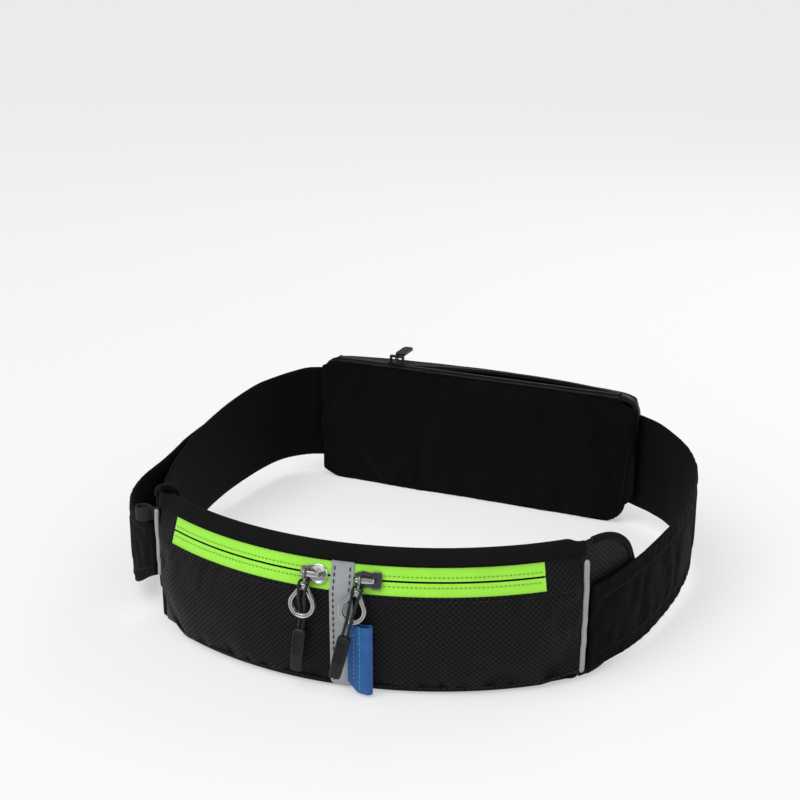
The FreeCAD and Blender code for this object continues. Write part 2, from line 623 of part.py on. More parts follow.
def rear_parts():
    """Rear pouch pieces in its own frame."""
    inner_back = -REAR_INSIDE + REAR_PANEL
    edge = ZIP_SLIT / 2
    near_edge = REAR_ZIP_LINE - edge
    far_edge = REAR_ZIP_LINE + edge
    top = REAR_HEIGHT
    parts = {}
    parts["rear_inner_panel"] = rear_outline(0, -REAR_INSIDE, inner_back)
    shell = rear_outline(0, -REAR_INSIDE, REAR_REACH).common(outer_arc(0).cut(outer_arc(-REAR_PANEL)))
    parts["rear_outer_panel"] = shell.common(box(-TALL, TALL, inner_back, TALL, 0, TALL))
    strip = rear_ring(inner_back)
    tape_zone = box(REAR_ZIP_START, REAR_ZIP_END, -TALL, TALL, top - 2 * REAR_PANEL, TALL)
    parts["rear_gusset"] = strip.cut(tape_zone)
    tapes = box(REAR_ZIP_START, REAR_ZIP_END, inner_back, REAR_REACH, top - REAR_TAPE, top)
    tapes = tapes.common(outer_arc(-REAR_PANEL))
    parts["rear_near_tape"] = tapes.common(box(-TALL, TALL, -TALL, near_edge, 0, TALL))
    parts["rear_far_tape"] = tapes.common(box(-TALL, TALL, far_edge, TALL, 0, TALL)).cut(lens(far_edge, MOUTH_OPEN))
    coil_top = top + REAR_COIL_HIGH
    parts["rear_near_coil"] = box(REAR_ZIP_START, REAR_ZIP_END, near_edge - COIL_WIDE, near_edge, top, coil_top)
    closed_end = REAR_SLIDER_AT + SLIDER_LENGTH / 2
    closed = box(REAR_ZIP_START, closed_end, far_edge, far_edge + COIL_WIDE, top, coil_top)
    bowed = lens(far_edge, MOUTH_OPEN + COIL_WIDE).cut(lens(far_edge, MOUTH_OPEN))
    bowed = bowed.common(box(closed_end, REAR_ZIP_END, -TALL, TALL, top, coil_top))
    parts["rear_far_coil"] = closed.fuse(bowed).removeSplitter()
    parts["rear_lining"] = rear_outline(REAR_LINING_INSET, inner_back, inner_back + LINING)
    stop_start = REAR_ZIP_START - STOP_LENGTH
    parts["rear_zip_stop"] = box(stop_start, REAR_ZIP_START, near_edge - COIL_WIDE, far_edge + COIL_WIDE, top, coil_top)
    return {name: placed(shape) for name, shape in parts.items()}


def slider_outline():
    """Outline of a slider's plates, narrow at -X and wide at +X, about its middle."""
    half = SLIDER_LENGTH / 2
    wide = SLIDER_WIDE / 2
    tail = SLIDER_TAIL_WIDE / 2
    cut = wide - SLIDER_CORNER
    neck = half - SLIDER_NOSE
    return [(-half, -tail), (neck, -wide), (half, -cut), (half, cut), (neck, wide), (-half, tail)]


def rear_slider():
    """Slider over the coils on the rear pouch's top edge, with its bridge on top."""
    y = REAR_ZIP_LINE
    nose = REAR_SLIDER_AT + SLIDER_LENGTH / 2 - SLIDER_NOSE
    low = REAR_HEIGHT - REAR_TAPE - FIT_GAP
    plate_z = REAR_HEIGHT + REAR_COIL_HIGH + FIT_GAP
    outline = [(REAR_SLIDER_AT + u, y + v) for u, v in slider_outline()]
    plate = prism([(u, v, plate_z) for u, v in outline], V(0, 0, PLATE))
    under = prism([(u, v, low - INNER_PLATE) for u, v in outline], V(0, 0, INNER_PLATE))
    post = box(nose, nose + POST_LENGTH, y - POST / 2, y + POST / 2, low - SINK, plate_z + SINK)
    body = plate.fuse([under, post] + bridge_parts(REAR_SLIDER_AT, y, plate_z + PLATE))
    bar = rear_point(REAR_SLIDER_AT, y)
    return placed(body.removeSplitter()), V(bar.x, bar.y, plate_z + PLATE + BRIDGE_RISE + BRIDGE_THICK / 2)


def bridge_parts(x, y, z):
    """Arch over a slider's plate: two legs and the bar that the pull hangs on."""
    x0 = x - BRIDGE_LENGTH / 2
    x1 = x + BRIDGE_LENGTH / 2
    y0 = y - BRIDGE_WIDE / 2
    y1 = y + BRIDGE_WIDE / 2
    top = z + BRIDGE_RISE
    left = box(x0, x0 + BRIDGE_THICK, y0, y1, z - SINK, top + SINK)
    right = box(x1 - BRIDGE_THICK, x1, y0, y1, z - SINK, top + SINK)
    return [left, right, box(x0, x1, y0, y1, top, top + BRIDGE_THICK)]


def rear_puller():
    """Tab that lies over the far edge: an eye on the bridge bar, then a flat tongue."""
    _, bar = rear_slider()
    z = bar.z
    y = REAR_ZIP_LINE
    eye = eye_on_bar(V(REAR_SLIDER_AT, y, z))
    start = y + EYE_RADIUS + REAR_NECK
    half = REAR_TAB_WIDE / 2
    tongue = box(REAR_SLIDER_AT - half, REAR_SLIDER_AT + half, start, start + REAR_TAB_LENGTH,
                 z - REAR_TAB_THICK / 2, z + REAR_TAB_THICK / 2)
    corners = [e for e in tongue.Edges if abs(e.Vertexes[0].Point.z - e.Vertexes[1].Point.z) > REAR_TAB_THICK / 2]
    tongue = tongue.makeFillet(REAR_TAB_ROUND, corners)
    neck = box(REAR_SLIDER_AT - NECK_RADIUS, REAR_SLIDER_AT + NECK_RADIUS, y + EYE_RADIUS, start + SINK,
               z - WIRE_RADIUS, z + WIRE_RADIUS)
    return placed(eye.fuse([neck, tongue]).removeSplitter())


def eye_on_bar(centre):
    """Round wire eye about a bar that runs along X."""
    return Part.makeTorus(EYE_RADIUS, WIRE_RADIUS, centre, V(1, 0, 0))


# ---- front sliders and pulls ----
def zip_angle(x):
    """Turn about the zips' axis that brings the middle of the front to a given x on the zip's circle."""
    return math.degrees(math.asin(x / ZIP_R))


def on_zip(shape, x):
    """Move a piece drawn at the zip's middle, front towards -Y and up the tape towards +Z, to its place."""
    moved = shape.copy()
    moved.rotate(V(0, 0, 0), V(1, 0, 0), -LEAN)
    moved.translate(V(0, ZIP_Y - ZIP_R, ZIP_Z))
    moved.rotate(V(0, ZIP_Y, 0), V(0, 0, 1), zip_angle(x))
    return moved


def front_slider(x, side):
    """Slider whose wide end faces the strip. The tapes run between its two plates."""
    face = -FIT_GAP
    back = TAPE + COIL_DEEP + FIT_GAP
    outline = [(-side * t, b) for t, b in slider_outline()]
    plate = prism([(t, face, b) for t, b in outline], V(0, -PLATE, 0))
    under = prism([(t, back, b) for t, b in outline], V(0, INNER_PLATE, 0))
    nose = -side * (SLIDER_LENGTH / 2 - SLIDER_NOSE)
    span = sorted([nose, nose - side * POST_LENGTH])
    post = box(*span, face - SINK, back + SINK, -POST / 2, POST / 2)
    arch = [turned(p, V(0, 0, 0), V(1, 0, 0), 90) for p in bridge_parts(0, 0, FIT_GAP + PLATE)]
    body = plate.fuse([under, post] + arch).removeSplitter()
    return on_zip(body, x)


def pull_place(shape, x, tilt):
    """Hang a piece drawn below the origin on the bridge bar of the slider at x."""
    moved = shape.copy()
    moved.rotate(V(0, 0, 0), V(0, 1, 0), tilt)
    moved.rotate(V(0, 0, 0), V(1, 0, 0), -PULL_LEAN)
    radius, z = zip_point(BAR_OUT, 0)
    moved.translate(V(-EYE_SHIFT, ZIP_Y - radius, z))
    moved.rotate(V(0, ZIP_Y, 0), V(0, 0, 1), zip_angle(x))
    return moved


def puller(tilt):
    """Eye on the bridge bar, a short neck and a drop-shaped ring turned square to the eye."""
    eye = turned(eye_on_bar(V(0, 0, 0)), V(0, 0, 0), V(0, 1, 0), -tilt)
    neck = Part.makeCylinder(NECK_RADIUS, RING_TOP + RING_BAND / 2 - EYE_RADIUS, V(0, 0, -RING_TOP - RING_BAND / 2))
    big = RING_WIDE / 2
    centre = V(0, -(RING_FOOT - big), 0)
    top = V(0, -RING_TOP - NECK_RADIUS - RING_BAND, 0)
    small = NECK_RADIUS + RING_BAND
    outer = drop(top, small, centre, big)
    inner = drop(top.add(V(0, -RING_BAND / 2, 0)), small - RING_BAND, centre, big - RING_BAND)
    band = outer.extrude(V(0, 0, RING_THICK)).cut(inner.extrude(V(0, 0, RING_THICK)))
    band.translate(V(0, 0, -RING_THICK / 2))
    band.rotate(V(0, 0, 0), V(1, 0, 0), 90)
    return eye.fuse([neck, band]).removeSplitter()


# Points of the pull cords, hung below the bridge bar: x to the right, y towards the pouch, z up.
RIGHT_CORD = [(-1.3, -1.9, -TIP_TOP), (-1.3, -1.9, -27.0), (-1.2, -2.3, -21.5), (-1.5, -2.3, -16.0),
              (-1.6, -2.1, -10.5), (-2.2, -2.0, -6.6), (-2.4, 0.2, -NECK_LOW), (-1.2, 1.9, -NECK_LOW),
              (1.2, 1.9, -NECK_LOW), (2.4, 0.2, -NECK_LOW), (2.2, -2.0, -6.6), (1.6, -2.1, -10.5),
              (1.5, -2.3, -16.0), (1.2, -2.3, -21.5), (1.3, -1.9, -27.0), (1.3, -1.9, -TIP_TOP)]
LEFT_CORD = [(-1.2, 1.8, -TIP_TOP), (-1.2, 1.8, -27.4), (-1.2, 2.3, -23.6), (-1.5, 0.6, -18.6),
             (-1.7, -2.0, -13.4), (-1.8, -2.3, -9.4), (-2.3, -2.0, -6.4), (-2.4, 0.2, -NECK_LOW),
             (-1.2, 1.9, -NECK_LOW), (1.2, 1.9, -NECK_LOW), (2.4, 0.2, -NECK_LOW), (2.3, -2.0, -6.4),
             (1.8, -2.3, -9.4), (1.7, -2.0, -13.4), (1.5, 0.6, -18.6), (1.2, 2.3, -23.6),
             (1.2, 1.8, -27.4), (1.2, 1.8, -TIP_TOP)]


def pull_cord(points):
    return tube_along([V(*p) for p in points], CORD_DIAMETER)


def pull_tip(points):
    """Moulded tip with a sloped end, moulded round both ends of the cord."""
    y = points[0][1]
    half = TIP_WIDE / 2
    deep = TIP_THICK / 2
    body = box(-half, half, y - deep, y + deep, -TIP_TOP - TIP_LENGTH, -TIP_TOP)
    low = -TIP_TOP - TIP_LENGTH
    foot = [e for e in body.Edges if abs(e.CenterOfMass.z - low) < 0.01 and abs(e.CenterOfMass.x) < 0.01]
    body = body.makeChamfer(TIP_SLOPE, foot)
    upright = [e for e in body.Edges if abs(e.tangentAt(0).z) > 0.99]
    return body.makeChamfer(TIP_CORNER, upright)


# ---- assembly ----
def build():
    nodes = {}
    edge = ZIP_SLIT / 2
    nodes["back_panel"] = back_panel()
    nodes["bottom_panel"] = bottom_panel()
    nodes["front_panel"] = front_panel()
    nodes["top_band"] = top_band()
    nodes["center_strip"] = center_strip()
    nodes["pocket_divider"] = pocket_divider()
    middle = (STRIP_LEFT + STRIP_RIGHT) / 2
    runs = {"left": (LEFT_TAPE_END, STRIP_LEFT), "right": (STRIP_RIGHT, RIGHT_TAPE_END)}
    for name, side in (("left", -1), ("right", 1)):
        x0, x1 = runs[name]
        outer_end = x0 if side < 0 else x1
        nodes[name + "_end_panel"] = end_panel(side, outer_end)
        nodes[name + "_zip_tape_lower"] = zip_tape(x0, x1, -HALF_TAPE - TAPE, -edge)
        nodes[name + "_zip_tape_upper"] = zip_tape(x0, x1, edge, HALF_TAPE + TAPE)
        coil = (x0 + STOP_LENGTH, x1) if side < 0 else (x0, x1 - STOP_LENGTH)
        nodes[name + "_zip_coil"] = zip_coils(*coil)
        stop = (x0, x0 + STOP_LENGTH) if side < 0 else (x1 - STOP_LENGTH, x1)
        nodes[name + "_zip_stop"] = zip_stop(*stop)
        span = sorted([middle + side * LINING, side * (WALL_X - LINING)])
        nodes[name + "_pocket_lining"] = pocket_lining(*span)
        nodes[name + "_piping"] = piping(side)
    nodes["webbing_loop"] = webbing_loop()
    nodes["right_wing"] = right_wing()
    nodes["left_wing"] = left_wing()
    nodes["right_belt"] = right_belt()
    nodes["left_belt"] = left_belt()
    nodes["closure_tab"] = closure_tab()
    nodes["loop_patch"] = patch((BELT_THICK + PATCH_THICK) / 2)
    nodes["hook_patch"] = patch((BELT_THICK + PATCH_THICK) / 2 + PATCH_THICK + FIT_GAP)
    nodes.update(rear_parts())
    nodes["rear_slider"], rear_bar = rear_slider()
    nodes["rear_puller"] = rear_puller()
    nodes["side_label"], label_hinge = side_label()
    pulls = {"left": (LEFT_SLIDER_X, LEFT_TILT, LEFT_CORD), "right": (RIGHT_SLIDER_X, RIGHT_TILT, RIGHT_CORD)}
    for name, side in (("left", -1), ("right", 1)):
        x, tilt, points = pulls[name]
        nodes[name + "_slider"] = front_slider(x, side)
        nodes[name + "_puller"] = pull_place(puller(tilt), x, tilt)
        nodes[name + "_pull_cord"] = pull_place(pull_cord(points), x, tilt)
        nodes[name + "_pull_tip"] = pull_place(pull_tip(points), x, tilt)
    return nodes, rear_bar, label_hinge


def report_axes(shift, rear_bar, label_hinge):
    """Print the joints' axes in the finished frame."""
    begin = tab_path()[0]
    print("zip axis", V(0, ZIP_Y, ZIP_Z).add(shift))
    print("tab hinge", begin.add(shift), "belt hinge", belt_hinge().add(shift))
    print("rear zip direction", heading(REAR_TURN), "rear bar", rear_bar.add(shift))
    print("label hinge", label_hinge.add(shift))
    for name, x in (("left", LEFT_SLIDER_X), ("right", RIGHT_SLIDER_X)):
        radius, z = zip_point(BAR_OUT, 0)
        turn = FreeCAD.Rotation(V(0, 0, 1), zip_angle(x))
        bar = turn.multVec(V(-EYE_SHIFT, -radius, z)).add(V(0, ZIP_Y, 0))
        print(name, "bar", bar.add(shift), "along", turn.multVec(V(1, 0, 0)))
    neck = pull_place(Part.Vertex(0, 0, -NECK_LOW), RIGHT_SLIDER_X, RIGHT_TILT)
    print("right cord's hinge", neck.Point.add(shift))
    print("left zip travel", zip_angle(LEFT_SLIDER_X) - zip_angle(LEFT_TAPE_END + SLIDER_END_GAP))
    print("right zip travel", zip_angle(RIGHT_TAPE_END - SLIDER_END_GAP) - zip_angle(RIGHT_SLIDER_X))
    first = REAR_ZIP_START + SLIDER_LENGTH
    last = REAR_ZIP_END - SLIDER_LENGTH
    print("rear travel", first - REAR_SLIDER_AT, last - REAR_SLIDER_AT)


nodes, rear_bar, label_hinge = build()
on_cords = ("left_pull_cord", "right_pull_cord", "left_pull_tip", "right_pull_tip")
extent = FreeCAD.BoundBox()
for name, shape in nodes.items():
    if name not in on_cords:
        extent.add(shape.BoundBox)
shift = V(-extent.Center.x, -extent.Center.y, -extent.ZMin)
os.makedirs("parts", exist_ok=True)
for name, shape in nodes.items():
    shape.translate(shift)
    shape.exportStep("parts/" + name + ".step")
report_axes(shift, rear_bar, label_hinge)
print("overall", round(extent.XLength, 1), round(extent.YLength, 1), round(extent.ZLength, 1), "shift", shift)
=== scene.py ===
import json
import math

import bmesh
import bpy
import numpy as np
from mathutils import Matrix, Vector, noise
from mathutils.bvhtree import BVHTree


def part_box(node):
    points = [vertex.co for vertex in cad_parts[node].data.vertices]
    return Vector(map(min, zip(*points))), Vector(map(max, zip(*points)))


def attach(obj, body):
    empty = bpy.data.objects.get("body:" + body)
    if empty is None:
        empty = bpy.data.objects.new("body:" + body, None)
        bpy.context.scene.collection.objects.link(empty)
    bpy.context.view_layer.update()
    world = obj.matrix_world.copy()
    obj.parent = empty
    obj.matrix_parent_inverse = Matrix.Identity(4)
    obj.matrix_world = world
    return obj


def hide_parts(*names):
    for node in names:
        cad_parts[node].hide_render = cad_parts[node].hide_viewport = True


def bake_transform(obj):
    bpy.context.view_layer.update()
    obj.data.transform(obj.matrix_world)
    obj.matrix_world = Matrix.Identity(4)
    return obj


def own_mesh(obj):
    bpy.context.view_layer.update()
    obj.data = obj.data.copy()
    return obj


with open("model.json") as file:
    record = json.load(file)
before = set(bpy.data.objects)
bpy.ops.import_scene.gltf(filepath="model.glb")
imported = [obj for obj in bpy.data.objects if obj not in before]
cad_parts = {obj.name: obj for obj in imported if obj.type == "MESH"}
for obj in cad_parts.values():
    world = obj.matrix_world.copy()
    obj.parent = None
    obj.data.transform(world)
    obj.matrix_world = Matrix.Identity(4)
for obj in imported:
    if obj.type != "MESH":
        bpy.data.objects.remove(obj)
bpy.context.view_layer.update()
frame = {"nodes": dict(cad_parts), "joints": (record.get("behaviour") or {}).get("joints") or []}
nodes = frame["nodes"]
joints = {j["name"]: j for j in frame["joints"]}
scene = bpy.context.scene
MM = 0.001
UP = Vector((0, 0, 1))

# ---- values read from the frame ----
axis_x, axis_y, _ = joints["left_zip"]["pos_m"]            # upright axis that both front zips turn about
back_low, back_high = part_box("back_panel")
shell_radius = axis_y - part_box("front_panel")[0].y
half_width = (back_high.x - back_low.x) / 2
seam_y = back_high.y
rim_z = back_high.z
zip_low_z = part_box("left_zip_tape_lower")[0].z
zip_high_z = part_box("left_zip_tape_upper")[1].z
rear_along = Vector(joints["rear_zip"]["axis"])
rear_out = Vector((-rear_along.y, rear_along.x, 0))
rear_bar = Vector(joints["rear_pull_swing"]["pos_m"])

# ---- sizes of what the frame doesn't hold ----
PROBE = 0.05                  # rays start this far below the floor
RAY_HEIGHT = 35 * MM          # height of the rays that follow the belts and panels
ZIP_LEAN = 5 * MM             # the zips' upper edge stands behind their lower one
BAND_LEAN = 10 * MM           # and the rim's front edge further still
FOOT_ROUND = 6 * MM           # rounding under the front pouch
CORNER_TALL = 40 * MM         # the pouch's ends draw in below this height
CORNER_PULL_LEFT = 9 * MM
CORNER_PULL_RIGHT = 0.8 * MM
CORNER_LONG = 30 * MM
CORNER_LIFT = 5 * MM
PULL_LEAN = 7.0               # degrees that the hanging pulls lean back
LEFT_TILT = 4.5
RIGHT_TILT = 13.0
CORD_DIAMETER = 1.6 * MM
NECK_LOW = -4.5
TIP_TOP = -31.5
TIP_LENGTH = 24.0

# Pull cords' points below the bridge bar, in millimetres: x to the right, y towards the pouch, z up.
RIGHT_CORD = [(-1.3, -1.9, TIP_TOP), (-1.3, -1.9, -27.0), (-1.2, -2.3, -21.5), (-1.5, -2.3, -16.0),
              (-1.6, -2.1, -10.5), (-2.2, -2.0, -6.6), (-2.4, 0.2, NECK_LOW), (-1.2, 1.9, NECK_LOW),
              (1.2, 1.9, NECK_LOW), (2.4, 0.2, NECK_LOW), (2.2, -2.0, -6.6), (1.6, -2.1, -10.5),
              (1.5, -2.3, -16.0), (1.2, -2.3, -21.5), (1.3, -1.9, -27.0), (1.3, -1.9, TIP_TOP)]
LEFT_CORD = [(-1.2, 1.8, TIP_TOP), (-1.2, 1.8, -27.4), (-1.2, 2.3, -23.6), (-1.5, 0.6, -18.6),
             (-1.7, -2.0, -13.4), (-1.8, -2.3, -9.4), (-2.3, -2.0, -6.4), (-2.4, 0.2, NECK_LOW),
             (-1.2, 1.9, NECK_LOW), (1.2, 1.9, NECK_LOW), (2.4, 0.2, NECK_LOW), (2.3, -2.0, -6.4),
             (1.8, -2.3, -9.4), (1.7, -2.0, -13.4), (1.5, 0.6, -18.6), (1.2, 2.3, -23.6),
             (1.2, 1.8, -27.4), (1.2, 1.8, TIP_TOP)]


# ---- small helpers ----
def clamp(value):
    return min(1.0, max(0.0, value))


def dome(share):
    """Height of a quarter circle at a share of its run."""
    return math.sqrt(max(0.0, 1 - (1 - min(1.0, share)) ** 2))


def spread(start, end, count):
    return [float(v) for v in np.linspace(start, end, count)]


def link(name, data):
    made = bpy.data.objects.new(name, data)
    scene.collection.objects.link(made)
    return made


def aim(item, way):
    """Point a camera or light along a direction."""
    item.rotation_euler = way.to_track_quat("-Z", "Y").to_euler()


def heading(points, k):
    """Direction of a line of points at one of them."""
    return (points[min(k + 1, len(points) - 1)] - points[max(k - 1, 0)]).normalized()


def lengths(points):
    """Length of a line of points so far, at each of them."""
    gone = [0.0]
    for a, b in zip(points, points[1:]):
        gone.append(gone[-1] + (b - a).length)
    return gone


def at_length(s, gone, coordinates):
    """Vector along a line of points, given as an array, at a length."""
    return Vector([float(np.interp(s, gone, coordinates[:, c])) for c in range(coordinates.shape[1])])


def facing(way, target):
    """The direction, turned round where it points away from the target."""
    return way if way.dot(target) > 0 else -way


def round_square(turn, power):
    """Point of a unit square with rounded corners at an angle."""
    c = math.cos(turn)
    s = math.sin(turn)
    return math.copysign(abs(c) ** power, c), math.copysign(abs(s) ** power, s)


# ---- camera, lights, floor ----
def make_camera():
    azimuth = math.radians(15.9)
    elevation = math.radians(21.5)
    flat = math.cos(elevation)
    back = Vector((math.sin(azimuth) * flat, -math.cos(azimuth) * flat, math.sin(elevation)))
    target = Vector((-28.2, 62.4, 45.0)) * MM
    data = bpy.data.cameras.new("camera")
    data.lens = 67.7
    data.sensor_width = 36
    data.shift_y = 0.078
    data.clip_start = 0.01
    camera = link("camera", data)
    camera.location = target + back * 0.974
    aim(camera, -back)
    scene.camera = camera


def area_light(name, place, target, size, power):
    data = bpy.data.lights.new(name, "AREA")
    data.shape = "RECTANGLE"
    data.size, data.size_y = size
    data.energy = power
    light = link(name, data)
    light.location = place
    aim(light, Vector(target) - Vector(place))


def make_lights():
    scene.view_settings.view_transform = "Standard"
    world = bpy.data.worlds.new("world")
    scene.world = world
    world.use_nodes = True
    sky = world.node_tree.nodes["Background"]
    sky.inputs["Color"].default_value = (0.93, 0.95, 1.0, 1)
    sky.inputs["Strength"].default_value = 0.42
    area_light("key", (-0.9, -1.1, 1.1), (0, -0.05, 0.03), (0.9, 0.9), 7)
    area_light("fill", (1.1, -0.9, 0.8), (0, -0.05, 0.03), (0.8, 0.8), 4)
    area_light("rim", (0.5, 0.9, 1.0), (0, 0.0, 0.05), (0.8, 0.5), 4)
    data = bpy.data.lights.new("sun", "SUN")
    data.energy = 1.7
    data.angle = math.radians(55)
    aim(link("sun", data), Vector((0.25, 0.35, -1)))


def make_floor():
    size = 15.0
    mesh = bpy.data.meshes.new("floor")
    corners = [(-size, -size, 0), (size, -size, 0), (size, size, 0), (-size, size, 0)]
    mesh.from_pydata(corners, [], [(0, 1, 2, 3)])
    floor = link("floor", mesh)
    floor.location.z = -0.0003
    finish = Finish("floor", (0.40, 0.40, 0.40), 0.95, 0.0)
    put(finish.shader, {"Emission Color": (1, 1, 1), "Emission Strength": 0.47})
    mesh.materials.append(finish.material)


# ---- materials ----
class Wire:
    """A shader node's output. Sums on it become math nodes."""

    def __init__(self, tree, socket):
        self.tree = tree
        self.socket = socket

    def then(self, operation, other, clamped=False):
        made = self.tree.nodes.new("ShaderNodeMath")
        made.operation = operation
        made.use_clamp = clamped
        put(made, {0: self, 1: other})
        return Wire(self.tree, made.outputs[0])

    def __add__(self, other):
        return self.then("ADD", other)

    def __sub__(self, other):
        return self.then("SUBTRACT", other)

    def __mul__(self, other):
        return self.then("MULTIPLY", other)

    def ribs(self, pitch):
        """Zigzag between 0 and a half, once in every pitch."""
        return (self * (1 / pitch)).then("PINGPONG", 0.5)


def put(made, values):
    """Give a node's inputs their values: numbers, colours or wires."""
    for name, value in values.items():
        if isinstance(value, Wire):
            value.tree.links.new(value.socket, made.inputs[name])
        else:
            made.inputs[name].default_value = (*value, 1) if isinstance(value, tuple) else value


class Finish:
    """Procedural material: a Principled shader, and the nodes that vary it."""

    def __init__(self, name, colour, roughness, specular=0.3, metallic=0.0, sheen=0.0):
        self.material = bpy.data.materials.new(name)
        self.material.use_nodes = True
        self.tree = self.material.node_tree
        self.shader = self.tree.nodes["Principled BSDF"]
        put(self.shader, {"Base Color": colour, "Roughness": roughness, "Specular IOR Level": specular,
                          "Metallic": metallic, "Sheen Weight": sheen, "Sheen Roughness": 0.5})

    def node(self, kind, values, output, **settings):
        made = self.tree.nodes.new("ShaderNode" + kind)
        for key, value in settings.items():
            setattr(made, key, value)
        put(made, values)
        return Wire(self.tree, made.outputs[output])

    def coordinates(self, kind):
        return self.node("TexCoord", {}, kind)

    def uv(self):
        """The piece's own lengths along its surface, in metres."""
        across = self.node("SeparateXYZ", {0: self.coordinates("UV")}, 0)
        return across, Wire(self.tree, across.socket.node.outputs[1])

    def noise(self, scale, detail=2.0):
        place = self.coordinates("Object")
        return self.node("TexNoise", {"Scale": scale, "Detail": detail, "Vector": place}, "Fac")

    def colour(self, factor, dark, light):
        """Base colour between two, each a colour or a wire."""
        mixed = self.node("Mix", {"A": dark, "B": light, "Factor": factor}, "Result", data_type="RGBA")
        put(self.shader, {"Base Color": mixed})
        return mixed

    def bump(self, height, distance, strength):
        values = {"Strength": strength, "Distance": distance, "Height": height}
        put(self.shader, {"Normal": self.node("Bump", values, "Normal")})

    def roughness(self, factor, low, high):
        values = {"To Min": low, "To Max": high, "Value": factor}
        put(self.shader, {"Roughness": self.node("MapRange", values, "Result")})


def diamond_cloth():
    """Black ripstop: raised diamond lines round small dark cells."""
    finish = Finish("diamond_cloth", (0.02, 0.02, 0.021), 0.45, 0.12)
    u, v = finish.uv()
    across = u * (1 / (3.2 * MM))
    up = v * (1 / (3.0 * MM))
    nearest = (across + up).then("PINGPONG", 0.5).then("MINIMUM", (across - up).then("PINGPONG", 0.5))
    line = (nearest * -5.5).then("ADD", 1.0, clamped=True)
    shown = line.then("MULTIPLY", finish.noise(60.0) + 0.35, clamped=True)
    finish.colour(shown, (0.0014, 0.0014, 0.0016), (0.0145, 0.0148, 0.016))
    finish.bump(line + finish.noise(2500.0, 1.0) * 0.25, 0.00022, 0.9)
    finish.roughness(line, 0.62, 0.42)
    return finish.material


def smooth_cloth(name, colour, light, sheen=0.12, pitch=0.55 * MM, specular=0.16):
    """Fine knit or plain weave: tiny crossed ribs with a slight unevenness."""
    finish = Finish(name, colour, 0.8, specular, 0.0, sheen)
    u, v = finish.uv()
    weave = u.ribs(pitch) + v.ribs(pitch)
    patchy = finish.noise(45.0, 3.0)
    finish.colour(weave * 0.35 + patchy * 0.65, colour, light)
    finish.bump(weave + finish.noise(900.0) * 0.8, 0.00012, 0.7)
    finish.roughness(patchy, 0.72, 0.92)
    return finish.material


def lime_twill():
    """Zip tape: diagonal twill with a soft sheen."""
    finish = Finish("lime_twill", (0.45, 0.9, 0.08), 0.6, 0.3, 0.0, 0.15)
    u, v = finish.uv()
    rib = (u * 1.35 + v).ribs(1.7 * MM)
    mixed = (rib * 1.5).then("ADD", finish.noise(70.0, 3.0) * 0.3, clamped=True)
    finish.colour(mixed, (0.20, 0.60, 0.02), (0.42, 0.92, 0.075))
    finish.bump(rib, 0.0002, 0.8)
    return finish.material


def grey_reflective():
    """Beaded reflective ribbon."""
    finish = Finish("grey_reflective", (0.4, 0.42, 0.43), 0.45, 0.4, 0.25)
    beads = finish.noise(3500.0, 0.0)
    finish.colour((beads + finish.noise(90.0, 3.0)) * 0.5, (0.20, 0.215, 0.225), (0.42, 0.44, 0.45))
    finish.bump(beads, 0.00005, 0.6)
    return finish.material


def blue_ribbon():
    """Woven label ribbon with fine cross ribs and one plain dashed stripe."""
    stripe_at = 7.6 * MM
    finish = Finish("blue_ribbon", (0.02, 0.12, 0.42), 0.7, 0.2, 0.0, 0.2)
    u, v = finish.uv()
    rib = v.ribs(0.45 * MM)
    mixed = rib * 0.5 + finish.noise(150.0, 3.0) * 0.6
    blue = finish.colour(mixed, (0.008, 0.055, 0.21), (0.03, 0.15, 0.44))
    stripe = (u - stripe_at).then("PINGPONG", 0.9 * MM).then("LESS_THAN", 0.22 * MM)
    middle = u.then("COMPARE", stripe_at)
    middle.socket.node.inputs[2].default_value = 1.3 * MM
    dashed = v.then("PINGPONG", 1.6 * MM).then("GREATER_THAN", 0.5 * MM)
    finish.colour(stripe * middle * dashed, blue, (0.03, 0.36, 0.34))
    finish.bump(rib + u.ribs(0.6 * MM), 0.0001, 0.7)
    return finish.material


def plain_thread(name, colour, roughness=0.7):
    finish = Finish(name, colour, roughness, 0.25)
    grain = finish.noise(1800.0, 1.0)
    finish.colour(grain, tuple(c * 0.6 for c in colour), tuple(min(1, c * 1.3) for c in colour))
    finish.bump(grain, 0.00008, 0.6)
    return finish.material


def metal(name, shade, low, high):
    """Cast and polished metal with faint smears."""
    finish = Finish(name, shade, low, 0.5, 1.0)
    smear = finish.noise(400.0, 4.0)
    finish.roughness(smear, low, high)
    finish.colour(finish.noise(220.0, 3.0), tuple(c * 0.72 for c in shade), shade)
    finish.bump(smear, 0.00003, 0.4)
    return finish.material


def moulded_plastic():
    finish = Finish("moulded_plastic", (0.022, 0.022, 0.023), 0.42, 0.28)
    finish.bump(finish.noise(1600.0, 3.0), 0.00006, 0.5)
    finish.roughness(finish.noise(180.0, 3.0), 0.34, 0.52)
    finish.colour(finish.noise(240.0), (0.003, 0.003, 0.0035), (0.010, 0.010, 0.011))
    return finish.material


def braided_cord():
    finish = Finish("braided_cord", (0.014, 0.014, 0.015), 0.7, 0.25, 0.0, 0.1)
    values = {"Scale": 420.0, "Distortion": 2.5, "Detail": 1.0, "Vector": finish.coordinates("Object")}
    wave = finish.node("TexWave", values, "Fac", wave_type="BANDS", bands_direction="DIAGONAL")
    finish.colour(wave, (0.003, 0.003, 0.003), (0.02, 0.02, 0.021))
    finish.bump(wave, 0.0002, 0.8)
    return finish.material


